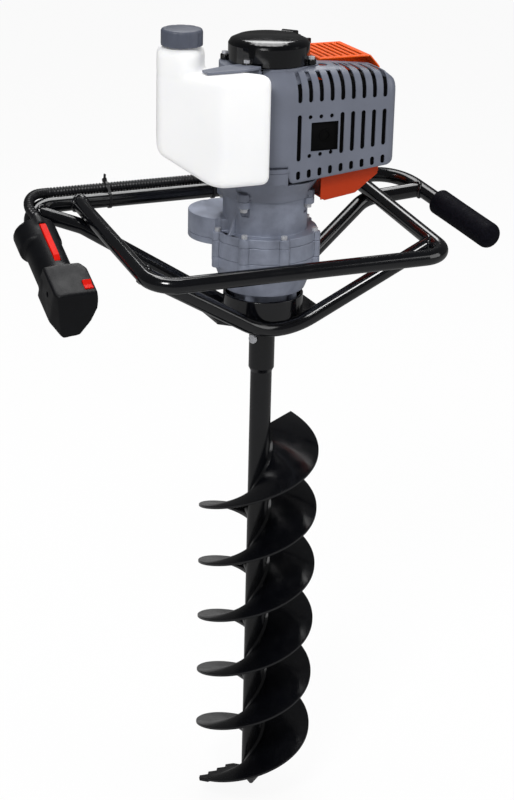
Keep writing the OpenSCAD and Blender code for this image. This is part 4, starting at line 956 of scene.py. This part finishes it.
class AUGER_OT_shade_sheet(bpy.types.Operator):
    """Dark thin sheet behind the slots of the muffler guard: painted shade that keeps the slots black"""

    bl_idname = "auger.liner"
    bl_label = "Guard shade sheet"

    def execute(self, context):
        wall = [(-73.3, 60), (-73.3, 203), (-70.2, 209)]
        bends = (
            (4, 58, [(-63, 213.3)]),
            (58, 104, [(-52, 212.6), (-14, 213), (-12, 221)]),
            (104, 156, [(-52, 212.6), (-14, 213)]),
        )
        maker = bmesh.new()
        for left, right, bend in bends:
            line = [(left, *p) for p in wall + bend]
            edges = [maker.edges.new([maker.verts.new(p) for p in pair]) for pair in zip(line, line[1:])]
            made = bmesh.ops.extrude_edge_only(maker, edges=edges)["geom"]
            bmesh.ops.translate(maker, verts=verts_in(made), vec=(right - left, 0, 0))
        bmesh.ops.remove_doubles(maker, verts=maker.verts, dist=0.01)
        cut_off(maker, (-6, 0, 73.5), (0.1034, 0, -1), fill=False)
        outwards(maker)
        bmesh.ops.solidify(maker, geom=list(maker.faces), thickness=0.5)
        in_metres(maker)
        outwards(maker)
        # The near-black sheet stands in for the shade inside the guard, seen through its slots.
        new_piece("muffler_guard.liner", maker, "muffler_steel", angle=20)
        return {"FINISHED"}


class AUGER_OT_filter(bpy.types.Operator):
    """Foam pad of the air filter with soft edges"""

    bl_idname = "auger.filter"
    bl_label = "Air filter"

    def execute(self, context):
        maker = bmesh.new()
        box_block(maker, (41, 114.5, 100), (117, 125, 182))
        rounded(maker, list(maker.verts), 2.5, 3)
        in_metres(maker)
        piece = new_piece("filter_element.foam", maker, "filter_foam", angle=60)
        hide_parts("filter_element")
        return {"FINISHED"}


class AUGER_OT_grip(bpy.types.Operator):
    """Thick foam sleeve of the right grip, closed and rounded at its outer end"""

    bl_idname = "auger.grip"
    bl_label = "Right grip"

    def execute(self, context):
        inner, outer, start, end = 11.6, 20.0, 95.0, 222.0
        lip, dome, waist = 6, 14, 0.25
        section = [(inner, start), (outer - lip, start)]
        for i in range(1, 7):
            a = math.pi * i / 12
            section.append((outer - lip + lip * math.sin(a), start + lip - lip * math.cos(a)))
        for i in range(1, 16):
            along = start + lip + i * (end - dome - lip - start) / 16
            section.append((outer - waist * math.sin(math.pi * i / 16), along))
        for i in range(9):
            a = math.pi * i / 16
            section.append((outer - dome + dome * math.cos(a), end - dome + dome * math.sin(a)))
        section.append((0.0, end))
        maker = bmesh.new()
        verts = [maker.verts.new((r, 0, z)) for r, z in section]
        edges = [maker.edges.new(pair) for pair in zip(verts, verts[1:])]
        bmesh.ops.spin(
            maker, geom=verts + edges, cent=(0, 0, 0), axis=(0, 0, 1), angle=2 * math.pi, steps=56, use_merge=True
        )
        bmesh.ops.remove_doubles(maker, verts=maker.verts, dist=0.01)
        bmesh.ops.transform(maker, matrix=on_arm(CORNER_RIGHT, ARM_RIGHT), verts=maker.verts)
        outwards(maker)
        piece = new_piece("right_grip.foam", maker, "foam_grip", angle=60)
        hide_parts("right_grip")
        return {"FINISHED"}


class AUGER_OT_starter_rope(bpy.types.Operator):
    """Starter rope from the pulley to the pull handle"""

    bl_idname = "auger.starter_rope"
    bl_label = "Starter rope"

    def execute(self, context):
        along = Vector((0.72, 0.694, 0)).normalized()
        level = Vector((0, 0, 0.246))
        start, end = along * 0.0345 + level, along * 0.066 + level
        count = 160
        route = [start.lerp(end, i / count) for i in range(count + 1)]
        thick = context.scene.auger_sizes.rope
        maker = bmesh.new()
        sweep(maker, route, [thick * (1 + 0.05 * math.cos(i * 0.9)) for i in range(count + 1)], 12)
        outwards(maker)
        piece = placed("starter_rope.braid", maker)
        piece.data.materials.append(FINISHES["rope_cord"])
        piece.data.shade_smooth()
        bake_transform(piece)
        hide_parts("starter_rope")
        return {"FINISHED"}


class AUGER_OT_stage(bpy.types.Operator):
    """Adds the camera, the studio light and a pale floor"""

    bl_idname = "auger.stage"
    bl_label = "Studio"

    def execute(self, context):
        scene = context.scene
        scene.view_settings.view_transform = "Standard"
        self.camera(scene)
        self.light(scene, "Key", (-1.9, -2.2, 2.6), (0, 0, 0.05), 1.1, 70)
        self.light(scene, "Fill", (2.4, -1.9, 1.0), (0, 0, -0.2), 2.0, 22)
        self.light(scene, "Top", (0.4, 0.9, 2.9), (0, 0, 0), 1.6, 40)
        self.light(scene, "Rim", (1.15, 2.6, 2.7), (0, 0, -0.1), 1.3, 30)
        self.backdrop(scene)
        self.floor(scene)
        return {"FINISHED"}

    def camera(self, scene):
        """The camera that was fitted to the photo."""
        place = (-1.13530, -2.53762, 0.81463)
        azimuth, pitch, roll = math.radians(-24), math.radians(-21.5), math.radians(1.38)
        camera = bpy.data.cameras.new("Camera")
        camera.lens = 90
        camera.sensor_width = 36
        camera.clip_end = 50
        eye = bpy.data.objects.new("Camera", camera)
        scene.collection.objects.link(eye)
        turn = Matrix.Rotation(azimuth, 4, "Z") @ Matrix.Rotation(math.pi / 2 + pitch, 4, "X")
        eye.matrix_world = Matrix.Translation(place) @ turn @ Matrix.Rotation(roll, 4, "Z")
        scene.camera = eye

    def light(self, scene, name, place, target, size, power):
        """One soft square lamp."""
        lamp = bpy.data.lights.new(name, "AREA")
        lamp.size = size
        lamp.energy = power
        obj = bpy.data.objects.new(name, lamp)
        obj.location = place
        obj.rotation_mode = "QUATERNION"
        obj.rotation_quaternion = (Vector(target) - Vector(place)).to_track_quat("-Z", "Y")
        obj.visible_camera = False
        scene.collection.objects.link(obj)

    def by_ray(self, tree, kind, others, these):
        """A node that gives one value for a kind of light ray and another for all others."""
        path = tree.nodes.new("ShaderNodeLightPath")
        span = tree.nodes.new("ShaderNodeMapRange")
        span.inputs["To Min"].default_value = others
        span.inputs["To Max"].default_value = these
        tree.links.new(path.outputs[kind], span.inputs["Value"])
        return span

    def seen(self, tree):
        """1 for what is seen directly, mirrored or through a clear piece, 0 for scattered light."""
        path = tree.nodes.new("ShaderNodeLightPath")
        first = tree.nodes.new("ShaderNodeMath")
        second = tree.nodes.new("ShaderNodeMath")
        first.operation = second.operation = "MAXIMUM"
        tree.links.new(path.outputs["Is Camera Ray"], first.inputs[0])
        tree.links.new(path.outputs["Is Glossy Ray"], first.inputs[1])
        tree.links.new(first.outputs["Value"], second.inputs[0])
        tree.links.new(path.outputs["Is Transmission Ray"], second.inputs[1])
        return second.outputs["Value"]

    def backdrop(self, scene):
        """White surround, softer as a light source and dark in reflections, as behind black flags."""
        world = bpy.data.worlds.new("Studio")
        scene.world = world
        world.use_nodes = True
        tree = world.node_tree
        ground = tree.nodes["Background"]
        ground.inputs["Color"].default_value = (1, 1, 1, 1)
        unseen = self.by_ray(tree, "Is Glossy Ray", 0.42, 0.08)
        strength = self.by_ray(tree, "Is Camera Ray", 0.0, 1.0)
        tree.links.new(unseen.outputs["Result"], strength.inputs["To Min"])
        tree.links.new(strength.outputs["Result"], ground.inputs["Strength"])

    def floor(self, scene):
        """Pale floor under the tip of the bit, which keeps a faint shadow."""
        maker = bmesh.new()
        bmesh.ops.create_grid(maker, x_segments=2, y_segments=2, size=12)
        bmesh.ops.translate(maker, verts=maker.verts, vec=(0, 0, CAD_BOX[0][2] - 0.001))
        floor = placed("Floor", maker)
        material = bpy.data.materials.new("floor_white")
        material.use_nodes = True
        tree = material.node_tree
        tree.nodes.remove(tree.nodes["Principled BSDF"])
        matt = tree.nodes.new("ShaderNodeBsdfDiffuse")
        matt.inputs["Color"].default_value = (0.92, 0.92, 0.92, 1)
        glow = tree.nodes.new("ShaderNodeEmission")
        brightness = self.by_ray(tree, "Is Glossy Ray", 1.0, 0.25)
        tree.links.new(brightness.outputs["Result"], glow.inputs["Strength"])
        mix = tree.nodes.new("ShaderNodeMixShader")
        share = tree.nodes.new("ShaderNodeMapRange")
        share.inputs["To Max"].default_value = 0.92
        tree.links.new(self.seen(tree), share.inputs["Value"])
        tree.links.new(share.outputs["Result"], mix.inputs["Fac"])
        tree.links.new(matt.outputs["BSDF"], mix.inputs[1])
        tree.links.new(glow.outputs["Emission"], mix.inputs[2])
        tree.links.new(mix.outputs["Shader"], tree.nodes["Material Output"].inputs["Surface"])
        floor.data.materials.append(material)


STEPS = {
    "finishes": AUGER_OT_finishes,
    "stage": AUGER_OT_stage,
    "conduit": AUGER_OT_conduit,
    "tie_tails": AUGER_OT_tie_tails,
    "welds": AUGER_OT_welds,
    "flight": AUGER_OT_flight,
    "tank": AUGER_OT_tank,
    "handle": AUGER_OT_handle,
    "cap": AUGER_OT_cap,
    "soft_edges": AUGER_OT_soft_edges,
    "guard": AUGER_OT_guard,
    "liner": AUGER_OT_shade_sheet,
    "filter": AUGER_OT_filter,
    "grip": AUGER_OT_grip,
    "starter_rope": AUGER_OT_starter_rope,
}


class AUGER_PT_pieces(bpy.types.Panel):
    """Lists the steps that dress the auger"""

    bl_idname = "AUGER_PT_pieces"
    bl_label = "Earth auger"
    bl_space_type = "VIEW_3D"
    bl_region_type = "UI"
    bl_category = "Auger"

    def draw(self, context):
        for step in STEPS:
            self.layout.operator("auger." + step)


def register():
    """Registers the classes and hangs the settings on the scene."""
    for item in [AugerColours, AugerSizes, *STEPS.values(), AUGER_PT_pieces]:
        bpy.utils.register_class(item)
    bpy.types.Scene.auger_colours = PointerProperty(type=AugerColours)
    bpy.types.Scene.auger_sizes = PointerProperty(type=AugerSizes)


def unregister():
    """Takes the settings and the classes away again."""
    del bpy.types.Scene.auger_sizes
    del bpy.types.Scene.auger_colours
    for item in [AUGER_PT_pieces, *STEPS.values(), AugerSizes, AugerColours]:
        bpy.utils.unregister_class(item)


def main():
    """Registers and runs every step in order."""
    register()
    for step in STEPS:
        getattr(bpy.ops.auger, step)()


if __name__ == "__main__":
    main()
